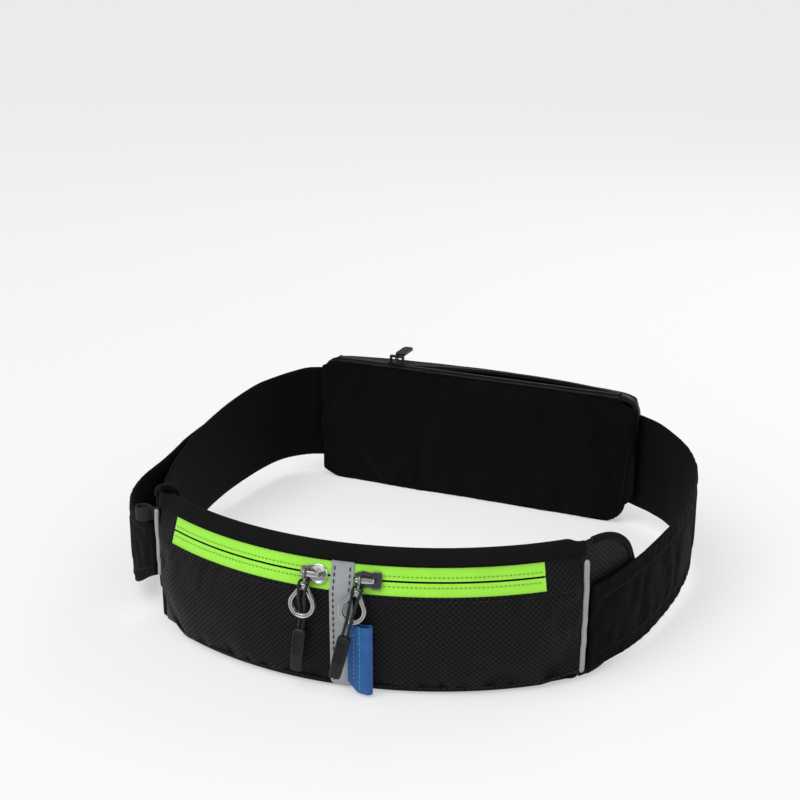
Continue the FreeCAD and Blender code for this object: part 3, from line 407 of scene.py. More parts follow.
mats = {
    "diamond": diamond_cloth(),
    "smooth": smooth_cloth("smooth_stretch", (0.002, 0.002, 0.0022), (0.0085, 0.0085, 0.009), 0.015,
                           specular=0.06),
    "neoprene": smooth_cloth("neoprene", (0.0014, 0.0014, 0.0016), (0.005, 0.005, 0.0055), 0.012, 0.4 * MM, 0.05),
    "mesh": smooth_cloth("spacer_mesh", (0.006, 0.006, 0.007), (0.04, 0.04, 0.042), 0.1, 2.2 * MM),
    "lining": smooth_cloth("lining", (0.004, 0.004, 0.0045), (0.016, 0.016, 0.017), 0.03, 0.5 * MM, 0.3),
    "webbing": smooth_cloth("webbing", (0.006, 0.006, 0.0065), (0.03, 0.03, 0.031), 0.05, 1.1 * MM),
    "tape": smooth_cloth("zip_tape", (0.004, 0.004, 0.0045), (0.018, 0.018, 0.019), 0.03, 0.9 * MM),
    "hook": smooth_cloth("hook_and_loop", (0.01, 0.01, 0.011), (0.05, 0.05, 0.052), 0.3, 1.4 * MM),
    "lime": lime_twill(),
    "lime_coil": plain_thread("lime_coil", (0.05, 0.13, 0.015), 0.5),
    "lime_thread": plain_thread("lime_thread", (0.12, 0.30, 0.02)),
    "coil": plain_thread("black_coil", (0.012, 0.012, 0.013), 0.4),
    "grey": grey_reflective(),
    "blue": blue_ribbon(),
    "blue_thread": plain_thread("blue_thread", (0.16, 0.36, 0.62)),
    "dark_thread": plain_thread("dark_thread", (0.03, 0.03, 0.033)),
    "black_thread": plain_thread("black_thread", (0.022, 0.022, 0.024)),
    "chrome": metal("polished_metal", (0.30, 0.30, 0.30), 0.16, 0.34),
    "bright": metal("bright_metal", (0.62, 0.62, 0.61), 0.14, 0.3),
    "dark_metal": metal("dark_metal", (0.13, 0.13, 0.135), 0.2, 0.38),
    "black_metal": metal("black_metal", (0.035, 0.035, 0.037), 0.3, 0.5),
    "stop": metal("zip_stop", (0.45, 0.46, 0.44), 0.25, 0.45),
    "cord": braided_cord(),
    "plastic": moulded_plastic(),
}


# ---- reading the frame's solids ----
def crossings(tree, origin, direction):
    """Distances from the origin to every place where a ray meets a solid."""
    found = []
    gone = 0.0
    here = Vector(origin)
    skip = 1e-6
    while len(found) < 12:
        where, _, _, distance = tree.ray_cast(here, direction)
        if where is None:
            return found
        gone += distance
        found.append(gone)
        gone += skip
        here = where + direction * skip
    return found


def smoothed(values, passes):
    values = np.array(values, float)
    for _ in range(passes):
        inner = (values[:-2] + values[2:]) / 2
        values[1:-1] = (values[1:-1] + inner) / 2
    return values


def follow(name, rays, trim=1.6 * MM, passes=10, first=0.0, last=0.0, steady=False):
    """Stations along an upright sheet: middle, outward normal, half thickness, z limits and length so far.
    Each ray is an origin inside the loop, or on the sheet's inner side, and a direction through the sheet."""
    mesh = nodes[name].data
    tree = BVHTree.FromPolygons([v.co for v in mesh.vertices], [p.vertices[:] for p in mesh.polygons])
    faces = []
    for origin, direction in rays:
        hits = crossings(tree, origin, direction)
        if len(hits) >= 2:
            faces.append((Vector((origin.x, origin.y, 0)), direction, hits[0], hits[-1]))
    inner = smoothed([f[2] for f in faces], passes)
    outer = smoothed([f[3] for f in faces], passes)
    middles = [f[0] + f[1] * (i + o) / 2 for f, i, o in zip(faces, inner, outer)]
    ways = [f[1] for f in faces]
    halves = [(o - i) / 2 for i, o in zip(inner, outer)]
    middles = [middles[0] + (middles[0] - middles[1]).normalized() * (trim + first)] + middles
    middles.append(middles[-1] + (middles[-1] - middles[-2]).normalized() * (trim + last))
    halves = [halves[0]] + halves + [halves[-1]]
    ways = [ways[0]] + ways + [ways[-1]]
    stations = []
    for k, (middle, length) in enumerate(zip(middles, lengths(middles))):
        along = heading(middles, k)
        normal = facing(Vector((along.y, -along.x, 0)), ways[k])
        hits = crossings(tree, Vector((middle.x, middle.y, -PROBE)), UP)
        limits = (hits[0] - PROBE, hits[-1] - PROBE) if len(hits) >= 2 else None
        stations.append([middle, normal, halves[k] * normal.dot(ways[k]), limits, length])
    known = [s for s in stations if s[3]]
    for station in stations:
        if station[3] is None:
            station[3] = min(known, key=lambda s: (s[0] - station[0]).length)[3]
    sides = []
    for side in (0, 1):
        heights = [s[3][side] for s in stations]
        if steady:
            heights = [float(np.median(heights[max(0, k - 4):k + 5])) for k in range(len(heights))]
        sides.append(smoothed(heights, 2))
    for station, low, high in zip(stations, *sides):
        station[3] = (low, high)
    return stations


def fan(name, steps, trim=1.6 * MM):
    """Rays from the middle of the loop through an upright sheet, from one of its ends to the other."""
    cloud = [v.co for v in nodes[name].data.vertices]
    turns = [math.atan2(p.x, -p.y) for p in cloud]
    inset = 1.2 * trim / np.mean([math.hypot(p.x, p.y) for p in cloud])
    return [(UP * RAY_HEIGHT, Vector((math.sin(a), -math.cos(a), 0)))
            for a in np.linspace(min(turns) + inset, max(turns) - inset, steps)]


# ---- mesh building ----
def carry(piece, rider):
    """Put a finished piece on its body when rider is a body; when rider is (body, body, start, end), only bake its
    place into its mesh and leave it on no body.
    """
    if isinstance(rider, str):
        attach(piece, rider)
    else:
        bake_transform(piece)


def finish_mesh(name, points, faces, uv, look, rider=None, stands_for=(), sharp=None, slot=None):
    """Piece from points and faces, with one UV per point. look is its material, rider what carries it,
    stands_for the CAD nodes that it replaces, and sharp the angle from which its edges stay crisp."""
    mesh = bpy.data.meshes.new(name)
    mesh.from_pydata([tuple(p) for p in points], [], faces)
    outward = bmesh.new()
    outward.from_mesh(mesh)
    bmesh.ops.recalc_face_normals(outward, faces=outward.faces)
    outward.to_mesh(mesh)
    outward.free()
    layer = mesh.uv_layers.new(name="lengths")
    index = np.zeros(len(mesh.loops), int)
    mesh.loops.foreach_get("vertex_index", index)
    layer.data.foreach_set("uv", np.array(uv, np.float32)[index].ravel())
    mesh.polygons.foreach_set("use_smooth", [True] * len(mesh.polygons))
    mesh.materials.append(mats[look])
    piece = link(name, mesh)
    if sharp:
        mesh.set_sharp_from_angle(angle=math.radians(sharp))
    if rider:
        carry(piece, rider)
    if stands_for:
        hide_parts(*stands_for)
    return piece


def grid_faces(rows, columns, start, flip=False):
    faces = []
    for i in range(rows - 1):
        for j in range(columns - 1):
            a = start + i * columns + j
            face = (a, a + 1, a + columns + 1, a + columns)
            faces.append(face[::-1] if flip else face)
    return faces


def slab(name, outer, inner, uv, look, *how):
    """Closed sheet between two grids of points, given as rows."""
    rows = len(outer)
    columns = len(outer[0])
    points = [p for row in outer for p in row] + [p for row in inner for p in row]
    flat_uv = [c for row in uv for c in row] * 2
    count = rows * columns
    faces = grid_faces(rows, columns, 0) + grid_faces(rows, columns, count, flip=True)
    border = [(0, j) for j in range(columns)] + [(i, columns - 1) for i in range(1, rows)]
    border += [(rows - 1, j) for j in range(columns - 2, -1, -1)] + [(i, 0) for i in range(rows - 2, 0, -1)]
    ring = [i * columns + j for i, j in border]
    for a, b in zip(ring, ring[1:] + ring[:1]):
        faces.append((b, a, a + count, b + count))
    return finish_mesh(name, points, faces, flat_uv, look, *how, sharp=50)


def loft(name, rings, uvs, look, *how, **more):
    """Closed skin through rings of points, with a fan at each end."""
    count = len(rings[0])
    points = [p for ring in rings for p in ring]
    flat_uv = [c for ring in uvs for c in ring]
    faces = []
    for i in range(len(rings) - 1):
        for j in range(count):
            k = (j + 1) % count
            faces.append((i * count + j, i * count + k, (i + 1) * count + k, (i + 1) * count + j))
    for i, flip in ((0, True), (len(rings) - 1, False)):
        points.append(sum(rings[i], Vector()) / count)
        flat_uv.append(tuple(np.mean(uvs[i], axis=0)))
        for j in range(count):
            face = (i * count + j, i * count + (j + 1) % count, len(points) - 1)
            faces.append(face[::-1] if flip else face)
    return finish_mesh(name, points, faces, flat_uv, look, *how, **more)


def wrinkle(point, size, height, seed):
    """Gentle unevenness of cloth at a point."""
    place = Vector((point[0] + seed, point[1], point[2] * 0.6)) / size
    return height * noise.fractal(place, 1.0, 2.0, 2)


def band_levels(low, high, lines, edge):
    """Heights along a padded band: close together at its rounded edges and beside its sewn lines."""
    levels = []
    for share in (0, 0.08, 0.3, 0.65, 1.0):
        levels += [low + edge * share, high - edge * share]
    for line in lines:
        levels += [line - 1.6 * MM, line - 0.6 * MM, line, line + 0.6 * MM, line + 1.6 * MM]
    steps = max(8, int((high - low) / (3.2 * MM)))
    between = [low + (high - low) * (k + 0.5) / steps for k in range(steps)]
    levels += [z for z in between if all(abs(z - other) > 1.2 * MM for other in levels)]
    return sorted(levels)


def stitch_row(points, normals, length, gap, thick):
    """Short rounded stitches laid end to end along a line on a surface, as points and faces."""
    sides = 5
    lift = 0.05 * MM
    made_points = []
    made_faces = []
    gone = lengths(points)
    places = np.array([tuple(p) for p in points])
    ways = np.array([tuple(n) for n in normals])
    for number in range(int(gone[-1] / (length + gap))):
        s = number * (length + gap) + gap / 2
        start = at_length(s, gone, places)
        end = at_length(s + length, gone, places)
        normal = at_length(s, gone, ways).normalized()
        side = (end - start).normalized().cross(normal).normalized()
        base = len(made_points)
        for share, size in ((0.0, 0.35), (0.2, 1.0), (0.8, 1.0), (1.0, 0.35)):
            middle = start.lerp(end, share) + normal * (lift * size)
            for turn in range(sides):
                a = 2 * math.pi * turn / sides
                made_points.append(middle + (side * math.cos(a) + normal * math.sin(a)) * thick * 0.5 * size)
        for a in (base, base + sides, base + 2 * sides):
            for j in range(sides):
                k = (j + 1) % sides
                made_faces.append((a + j, a + k, a + sides + k, a + sides + j))
        made_faces.append(tuple(base + j for j in range(sides - 1, -1, -1)))
        made_faces.append(tuple(base + 3 * sides + j for j in range(sides)))
    return made_points, made_faces


def stitches(name, rows, look, rider, length=2.2 * MM, gap=0.9 * MM, thick=0.42 * MM, slot=None):
    """One piece of thread from several rows, each a list of points and a list of normals."""
    points = []
    faces = []
    for line, normals in rows:
        more_points, more_faces = stitch_row(line, normals, length, gap, thick)
        faces += [tuple(i + len(points) for i in f) for f in more_faces]
        points += more_points
    finish_mesh(name, points, faces, [(p[0], p[2]) for p in points], look, rider, slot=slot)


def flat_tube(name, points, wide_ways, width, thick, look, *how, power=0.6, slot=None):
    """Ribbon or bead with a rounded flat section, along points; wide_ways is its wide direction at each point."""
    corners = 12
    rings = []
    uvs = []
    for k, (point, gone) in enumerate(zip(points, lengths(points))):
        along = heading(points, k)
        wide = wide_ways[k]
        wide = (wide - along * wide.dot(along)).normalized()
        flat = along.cross(wide).normalized()
        w = width[k] if isinstance(width, list) else width
        ring = []
        for turn in range(corners):
            c, s = round_square(2 * math.pi * turn / corners, power)
            ring.append(point + wide * (w / 2 * c) + flat * (thick / 2 * s))
        rings.append(ring)
        uvs.append([(gone, w * turn / corners) for turn in range(corners)])
    return loft(name, rings, uvs, look, *how, slot=slot)


# ---- front pouch shell: one plan curve, with the shell's slope as an inset that depends on the height ----
def make_plan():
    """Plan curve of the front shell, from the left seam round the front to the right one."""
    end_angle = math.asin((half_width - 3.5 * MM) / shell_radius)
    right = [Vector((axis_x + shell_radius * math.sin(a), axis_y - shell_radius * math.cos(a)))
             for a in np.linspace(0, end_angle, 60)]
    start = right[-1]
    knee = start + Vector((math.cos(end_angle), math.sin(end_angle))) * 5.0 * MM
    finish = Vector((axis_x + half_width + 0.3 * MM, seam_y - 3.6 * MM))
    right += [start * (1 - t) ** 2 + knee * 2 * t * (1 - t) + finish * t ** 2 for t in np.linspace(0, 1, 9)[1:]]
    return [Vector((2 * axis_x - p.x, p.y)) for p in right[:0:-1]] + right


PLAN = make_plan()
PLAN_STEPS = lengths(PLAN)
PLAN_HALF = PLAN_STEPS[-1] / 2
PLAN_PLACES = np.array([tuple(p) for p in PLAN])


def plan_at(s):
    """Plan point and outward normal at a length from the middle of the front."""
    reach = 1.5 * MM
    place = s + PLAN_HALF
    (x, x0, x1), (y, y0, y1) = ([float(np.interp(place + d, PLAN_STEPS, PLAN_PLACES[:, c]))
                                 for d in (0, -reach, reach)] for c in (0, 1))
    along = Vector((x1 - x0, y1 - y0)).normalized()
    return Vector((x, y, 0)), Vector((along.y, -along.x, 0))


def length_at_x(x):
    """Length along the front of the zips' circle that has a given x."""
    return shell_radius * math.asin((x - axis_x) / shell_radius)


def inset_at(z):
    """How far behind the shell's widest outline it is at a height."""
    if z < FOOT_ROUND:
        return FOOT_ROUND - math.sqrt(FOOT_ROUND ** 2 - (FOOT_ROUND - max(z, 0.0)) ** 2)
    if z <= zip_low_z:
        return 0.0
    if z <= zip_high_z:
        return ZIP_LEAN * (z - zip_low_z) / (zip_high_z - zip_low_z)
    return ZIP_LEAN + (BAND_LEAN - ZIP_LEAN) * (z - zip_high_z) / (rim_z - zip_high_z)


def corner_inset(z, side):
    """How far the pouch's ends draw in towards the floor, more on the left (side below 0) than on the right."""
    pull = CORNER_PULL_LEFT if side < 0 else CORNER_PULL_RIGHT
    return pull * (1 - math.sqrt(1 - clamp(1 - z / CORNER_TALL) ** 2))


def shell_point(s, z):
    place, normal = plan_at(s)
    from_end = PLAN_HALF - abs(s)
    inset = inset_at(z) * (0.25 + 0.75 * clamp(from_end / (10 * MM)))
    near = clamp(1 - from_end / CORNER_LONG)
    near = near * near * (3 - 2 * near)
    lift = CORNER_LIFT * near * max(0.0, 1 - z / (25 * MM)) ** 2
    return place - normal * (inset + corner_inset(z, s) * near) + UP * (z + lift)


def shell_normal(s, z):
    _, normal = plan_at(s)
    step = 0.5 * MM
    up = shell_point(s, min(z + step, rim_z)) - shell_point(s, z - step)
    return facing(Vector((-normal.y, normal.x, 0)).cross(up).normalized(), normal)


def billow(grid, pinned, pressure, slack, cap, out):
    """Cloth simulation of a sheet held where pinned says, blown outward. Returns the moved rows of points."""
    frames = 20
    rows = len(grid)
    columns = len(grid[0])
    mesh = bpy.data.meshes.new("billow")
    i, j = rows // 2, columns // 2
    across = (grid[i][j + 1] - grid[i][j]).cross(grid[i + 1][j] - grid[i][j])
    mesh.from_pydata([tuple(p) for row in grid for p in row], [], grid_faces(rows, columns, 0, across.dot(out) < 0))
    sheet = link("billow", mesh)
    group = sheet.vertex_groups.new(name="held")
    group.add([i * columns + j for i in range(rows) for j in range(columns) if pinned(i, j)], 1.0, "ADD")
    cloth = sheet.modifiers.new("cloth", "CLOTH")
    settings = cloth.settings
    settings.vertex_group_mass = "held"
    settings.quality = 6
    settings.mass = 0.15
    settings.tension_stiffness = 25
    settings.compression_stiffness = 25
    settings.shear_stiffness = 12
    settings.bending_stiffness = 0.4
    settings.use_pressure = True
    settings.uniform_pressure_force = pressure
    settings.shrink_min = -slack
    settings.effector_weights.gravity = 0
    cloth.collision_settings.use_collision = False
    cloth.point_cache.frame_start = 1
    cloth.point_cache.frame_end = frames
    for number in range(1, frames + 1):
        scene.frame_set(number)
    shape = sheet.evaluated_get(bpy.context.evaluated_depsgraph_get()).to_mesh()
    moved = [Vector(v.co) for v in shape.vertices]
    result = []
    for i, row in enumerate(grid):
        line = []
        for j, start in enumerate(row):
            way = moved[i * columns + j] - start
            limit = cap(i, j)
            if way.length > limit:
                way = way.normalized() * limit
            line.append(start + way)
        result.append(line)
    scene.frame_set(1)
    bpy.data.objects.remove(sheet)
    return result


def grid_normals(grid):
    """Normal at each point of a grid of points, from its neighbours."""
    result = []
    for i, row in enumerate(grid):
        line = []
        for j in range(len(row)):
            a = grid[min(i + 1, len(grid) - 1)][j] - grid[max(i - 1, 0)][j]
            b = row[min(j + 1, len(row) - 1)] - row[max(j - 1, 0)]
            line.append(b.cross(a).normalized())
        result.append(line)
    return result


def sheet_from(name, grid, uv, thick, *how):
    """Closed sheet of a given thickness behind a grid of points."""
    inner = [[p - n * thick for p, n in zip(row, line)] for row, line in zip(grid, grid_normals(grid))]
    return slab(name, grid, inner, uv, *how)


def padded_band(name, stations, seams, puff, look, rider, stands_for, wave=0.5 * MM, seed=0.0, swell=1.0,
                edge=2.2 * MM):
    """Padded panel: rounded edges, and its outer face blown up between its sewn lines by a cloth simulation.
    seams is empty, or the lower sewn line's distance from the foot and the upper one's from the top."""
    low0, high0 = stations[len(stations) // 2][3]
    lines = [low0 + seams[0], high0 - seams[1]] if seams else []
    levels = band_levels(low0, high0, lines, edge)
    shares = [(z - low0) / (high0 - low0) for z in levels]
    total = stations[-1][4]
    base = []
    backs = []
    for middle, normal, half, (low, high), length in stations:
        end_round = 0.3 + 0.7 * dome(min(length, total - length) / (1.5 * MM))
        front = []
        back = []
        for share in shares:
            z = low + (high - low) * share
            offset = half * dome(min(z - low, high - z) / edge) * end_round * 0.88
            place = middle + UP * z
            shift = wrinkle(place, 35 * MM, wave, seed) + wrinkle(place, 9 * MM, wave * 0.22, seed + 3)
            front.append(place + normal * (offset + shift))
            back.append(place + normal * (shift - offset))
        base.append(front)
        backs.append(back)
    held = [min([z - low0, high0 - z] + [abs(z - line) for line in lines]) for z in levels]
    reach = [min(1.0, h / (3 * MM)) for h in held]
    last = len(stations) - 1
    outside = base
    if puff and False:
        for i, station in enumerate(stations):
            push = puff * swell * min(1.0, min(i, last - i) / 3)
            outside[i] = [p + station[1] * (push * math.sin(r * math.pi / 2)) for p, r in zip(base[i], reach)]
    elif puff:
        outside = billow(base, lambda i, j: i in (0, last) or held[j] < 0.2 * MM, swell, 0.05,
                         lambda i, j: puff * reach[j], stations[len(stations) // 2][1])
    rings = [front + back[::-1] for front, back in zip(outside, backs)]
    uvs = []
    for _, _, _, (low, high), length in stations:
        column = [(length, low + (high - low) * s) for s in shares]
        uvs.append(column + column[::-1])
    loft(name, rings, uvs, look, rider, (stands_for,))
    return outside, [levels.index(line) for line in lines]


def band_stitches(name, outside, columns, rider):
    """Stitch rows in a padded panel's sewn lines, short of its ends."""
    skip = 3
    normals = grid_normals(outside)
    middle = len(outside) // 2
    flip = -1 if normals[middle][columns[0]].dot(outside[middle][columns[0]]) < 0 else 1
    rows = []
    for column in columns:
        line = [row[column] for row in outside[skip:-skip]]
        rows.append((line, [n[column] * flip for n in normals[skip:-skip]]))
    stitches(name, rows, "black_thread", rider, slot="black_webbing")


def shell_sheet(name, s0, s1, z0, z1, out, thick, step, look, stands_for=(), levels=None):
    """Closed sheet on the front shell between two lengths and two heights; out(s, z) moves it outward."""
    line = spread(s0, s1, max(4, int((s1 - s0) / step) + 1))
    rows = levels or spread(z0, z1, max(3, int((z1 - z0) / step) + 1))
    grid = [[shell_point(s, z) + shell_normal(s, z) * out(s, z) for s in line] for z in rows]
    sheet_from(name, grid, [[(s, z) for s in line] for z in rows], thick, look, "pack", stands_for)


def shell_line(s_values, z, out):
    """Points and normals along a level line on the front shell."""
    normals = [shell_normal(s, z) for s in s_values]
    return [shell_point(s, z) + n * out for s, n in zip(s_values, normals)], normals


# ---- front pouch ----
TAPE = 0.8 * MM
SLIT_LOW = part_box("left_zip_tape_lower")[1].z
SLIT_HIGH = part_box("left_zip_tape_upper")[0].z
LEFT_TAPE_S = length_at_x(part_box("left_zip_tape_lower")[0].x)
RIGHT_TAPE_S = length_at_x(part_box("right_zip_tape_lower")[1].x)
STRIP_S0, STRIP_S1 = (length_at_x(corner.x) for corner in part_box("center_strip"))
STRIP_MIDDLE = (STRIP_S0 + STRIP_S1) / 2
FRONT_S = spread(-PLAN_HALF, PLAN_HALF, int(2 * PLAN_HALF / (2.1 * MM)) + 1)
FRONT_Z = [z * MM for z in [0.4, 1.2, 2.2, 3.4, 4.8, 6.4] + spread(8.3, zip_low_z / MM, 24)]


def belly(s):
    """How far the front may swell at a length from the middle: hardly beside the strip, most near its ends."""
    off = abs(s - STRIP_MIDDLE)
    near = clamp((off - 7 * MM) / (8 * MM))
    far = clamp((off - 28 * MM) / (30 * MM))
    return (0.25 + 0.85 * near + 2.2 * far) * MM * clamp((PLAN_HALF - abs(s)) / (22 * MM))


def front_shell():
    """The swollen front panel. Returns its rows of points."""
    most = 3.3 * MM
    caps = [[belly(s) * math.sin(math.pi * min(1.0, z / zip_low_z)) ** 0.6 for s in FRONT_S] for z in FRONT_Z]
    grid = []
    for line, z in zip(caps, FRONT_Z):
        row = []
        for cap, s in zip(line, FRONT_S):
            fold = wrinkle((s, 0, z * 1.7), 26 * MM, 0.55 * MM, 1.3) + wrinkle((s, 0, z), 11 * MM, 0.16 * MM, 4.0)
            row.append(shell_point(s, z) + shell_normal(s, z) * (fold * (cap / most)))
        grid.append(row)

    def pinned(i, j):
        return i in (0, 1, len(grid) - 1) or j in (0, len(FRONT_S) - 1) or STRIP_S0 < FRONT_S[j] < STRIP_S1

    front = billow(grid, pinned, 5.0, 0.03, lambda i, j: caps[i][j], Vector((0, -1, 0)))
    sheet_from("front_shell", front, [[(s, z) for s in FRONT_S] for z in FRONT_Z], 1.2 * MM, "diamond", "pack",
               ("front_panel", "left_end_panel", "right_end_panel"))
    return front


def on_front(front, s, z):
    """Point of the swollen front at a length and a height."""
    j = min(len(FRONT_S) - 2, max(0, int(np.searchsorted(FRONT_S, s)) - 1))
    i = min(len(FRONT_Z) - 2, max(0, int(np.searchsorted(FRONT_Z, z)) - 1))
    u = (s - FRONT_S[j]) / (FRONT_S[j + 1] - FRONT_S[j])
    v = (z - FRONT_Z[i]) / (FRONT_Z[i + 1] - FRONT_Z[i])
    top = front[i + 1][j].lerp(front[i + 1][j + 1], u)
    return front[i][j].lerp(front[i][j + 1], u).lerp(top, v)


def front_pouch():
    front = front_shell()
    for side, s0, s1 in (("left", -PLAN_HALF, LEFT_TAPE_S), ("right", RIGHT_TAPE_S, PLAN_HALF)):
        shell_sheet(side + "_zip_patch", s0, s1, zip_low_z, zip_high_z, lambda s, z: 0.0, 1.2 * MM, 2 * MM,
                    "diamond")
        tape_s = (LEFT_TAPE_S, STRIP_S0 + 0.5 * MM) if side == "left" else (STRIP_S1 - 0.5 * MM, RIGHT_TAPE_S)
        for part, z0, z1 in (("lower", zip_low_z, SLIT_LOW), ("upper", SLIT_HIGH, zip_high_z)):
            shell_sheet("%s_tape_%s" % (side, part), *tape_s, z0, z1,
                        lambda s, z: wrinkle((s, 0, z), 14 * MM, 0.12 * MM, 2.0), TAPE, 2 * MM, "lime",
                        ("%s_zip_tape_%s" % (side, part),))
        nodes[side + "_zip_coil"].data.materials[0] = mats["lime_coil"]
        shell_sheet(side + "_lining", *tape_s, 3 * MM, zip_low_z - 2 * MM, lambda s, z: -2.4 * MM, 0.4 * MM, 6 * MM,
                    "lining", (side + "_pocket_lining",))

    band = rim_z - zip_high_z

    def roll(s, z):
        t = (z - zip_high_z) / band
        puff = 0.9 * math.sin(math.pi * clamp(t)) ** 0.5 + 0.25 * wrinkle((s, 0, z), 30 * MM, 1.0, 5.0)
        end = min(1.0, (PLAN_HALF - abs(s)) / (12 * MM))
        return puff * MM * end - 0.9 * MM * max(0.0, (t - 0.85) / 0.15) ** 2 + 1.5 * MM

    levels = [zip_high_z + band * t for t in (0, 0.04, 0.12, 0.3, 0.5, 0.7, 0.85, 0.94, 0.985, 1.0)]
    shell_sheet("rim_band", -PLAN_HALF, PLAN_HALF, 0, 0, roll, 1.6 * MM, 2.2 * MM, "smooth", ("top_band",), levels)

    hem = [0.35 * MM, 1.0 * MM, 2.0 * MM, 3.2 * MM, 4.2 * MM, 5.0 * MM]

    def swell(s, z):
        share = min(1.0, max(0.05, (z - hem[0]) / (hem[-1] - hem[0])))
        return 0.7 * MM * math.sin(math.pi * share) ** 0.4

    shell_sheet("foot_binding", -PLAN_HALF, PLAN_HALF, 0, 0, swell, 0.9 * MM, 2.4 * MM, "smooth", (), hem)

    # strip: its face follows the swollen front, and its foot is round
    heights = [1.6, 2.2, 3.2, 4.6, 6.4] + spread(9, zip_low_z / MM, 20) + spread(58, zip_high_z / MM - 0.2, 7)
    grid = []
    uv = []
    for z in (h * MM for h in heights):
        half = (STRIP_S1 - STRIP_S0) / 2 * (0.45 + 0.55 * dome((z - 1.2 * MM) / (4.6 * MM)))
        row = []
        for s in spread(STRIP_MIDDLE - half, STRIP_MIDDLE + half, 7):
            place = on_front(front, s, z) if z < zip_low_z else shell_point(s, z)
            bow = 0.15 * MM * wrinkle((s * 0.4, 0, z), 20 * MM, 1.0, 9.0)
            row.append(place + shell_normal(s, z) * (0.75 * MM + bow))
        grid.append(row)
        uv.append([(s, z) for s in spread(STRIP_MIDDLE - half, STRIP_MIDDLE + half, 7)])
    sheet_from("reflective_strip", grid, uv, 0.7 * MM, "grey", "pack", ("center_strip",))
    sewn = list(zip(grid, heights))[3:]
    normals = [shell_normal(STRIP_MIDDLE, z * MM) for _, z in sewn]
    rows = [([row[0].lerp(row[-1], share) + n * 0.3 * MM for (row, _), n in zip(sewn, normals)], normals)
            for share in (0.16, 0.84)]
    stitches("strip_stitches", rows, "dark_thread", "pack", 2.2 * MM, 1.3 * MM, 0.7 * MM)

    # sewn rows beside the zips
    rows = []
    for s0, s1 in ((LEFT_TAPE_S + 1 * MM, STRIP_S0 - 1.5 * MM), (STRIP_S1 + 1.5 * MM, RIGHT_TAPE_S - 1 * MM)):
        for z in (SLIT_LOW - 2.0 * MM, SLIT_HIGH + 2.0 * MM):
            rows.append(shell_line(spread(s0, s1, 50), z, 0.22 * MM))
    stitches("zip_stitches", rows, "lime_thread", "pack", 1.5 * MM, 0.8 * MM, 0.4 * MM)
    rows = []
    s_row = spread(-PLAN_HALF + 3 * MM, PLAN_HALF - 3 * MM, 90)
    under = zip_low_z - 1.6 * MM
    for part in ([s for s in s_row if s <= STRIP_S0 - 1 * MM], [s for s in s_row if s >= STRIP_S1 + 1 * MM]):
        rows.append(shell_line(part, zip_high_z + 1.3 * MM, 0.75 * MM))
        rows.append(([on_front(front, s, under) for s in part], [shell_normal(s, under) for s in part]))
        rows.append(shell_line(part, hem[-1] - 0.9 * MM, 0.5 * MM))
    stitches("shell_stitches", rows, "black_thread", "pack")

    # rolled edge where the cloth meets each tape
    for name, z, out, look in (("upper_zip_fold", zip_high_z, 0.35 * MM, "smooth"),
                               ("lower_zip_fold", zip_low_z, 0.25 * MM, "diamond")):
        for side, s0, s1 in (("left", LEFT_TAPE_S, STRIP_S0), ("right", STRIP_S1, RIGHT_TAPE_S)):
            line, _ = shell_line(spread(s0, s1, 60), z, out)
            flat_tube("%s_%s" % (side, name), line, [UP] * len(line), 1.5 * MM, 1.1 * MM, look, "pack",
                      slot="smooth_black")

    low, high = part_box("pocket_divider")
    x = axis_x + STRIP_MIDDLE
    outer = [[Vector((x + 0.2 * MM, y, z)) for y in (low.y + 1.5 * MM, high.y)]
             for z in (low.z + 0.5 * MM, zip_low_z - 1 * MM)]
    inner = [[p - Vector((0.4 * MM, 0, 0)) for p in row] for row in outer]
    slab("divider", outer, inner, [[(0, 0), (0.01, 0)], [(0, 0.05), (0.01, 0.05)]], "lining", "pack",
         ("pocket_divider",))


def back_and_floor(stations):
    pad = [(m, n, half, (low, high - 1.8 * MM), s) for m, n, half, (low, high), s in stations]
    padded_band("back_pad", pad, (4 * MM, 4 * MM), 0.0, "mesh", "pack", "back_panel", wave=0.25 * MM, edge=1.1 * MM)
    xs = [s[0].x for s in stations]
    ys = [(s[0] + s[1] * s[2] * 0.9).y for s in stations]
    outer = []
    for s in spread(-PLAN_HALF + 1 * MM, PLAN_HALF - 1 * MM, 90):
        place = shell_point(s, 0.4 * MM) - plan_at(s)[1] * 0.4 * MM
        y = max(place.y + 0.2 * MM, float(np.interp(place.x, xs, ys)))
        outer.append([Vector((place.x, place.y + (y - place.y) * t, 0.35 * MM)) for t in (0, 0.33, 0.66, 1)])
    inner = [[p + UP * 1.2 * MM for p in row] for row in outer]
    slab("pouch_floor", outer, inner, [[(p.x, p.y) for p in row] for row in outer], "smooth", "pack",
         ("bottom_panel",))


def pipings():
    count = 46
    for side, sign, foot in (("left", -1, 30 * MM), ("right", 1, 3 * MM)):
        low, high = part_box(side + "_piping")
        centre = (low + high) / 2
        points = []
        for z in spread(high.z, foot, count):
            tuck = max(0.0, 1 - z / (16 * MM))
            sway = wrinkle((z, sign, 0), 13 * MM, 0.5 * MM, 7.0)
            points.append(Vector((centre.x - sign * (0.2 * MM + corner_inset(z, sign)) + sway, centre.y - 1.0 * MM,
                                  z + 2 * MM * tuck)))
        width = [1.9 * MM] + [3.1 * MM] * (count - 2) + [1.9 * MM]
        flat_tube(side + "_piping_bead", points, [Vector((1, sign * 0.55, 0))] * count, width, 2.0 * MM, "grey",
                  "pack", (side + "_piping",), power=0.75)


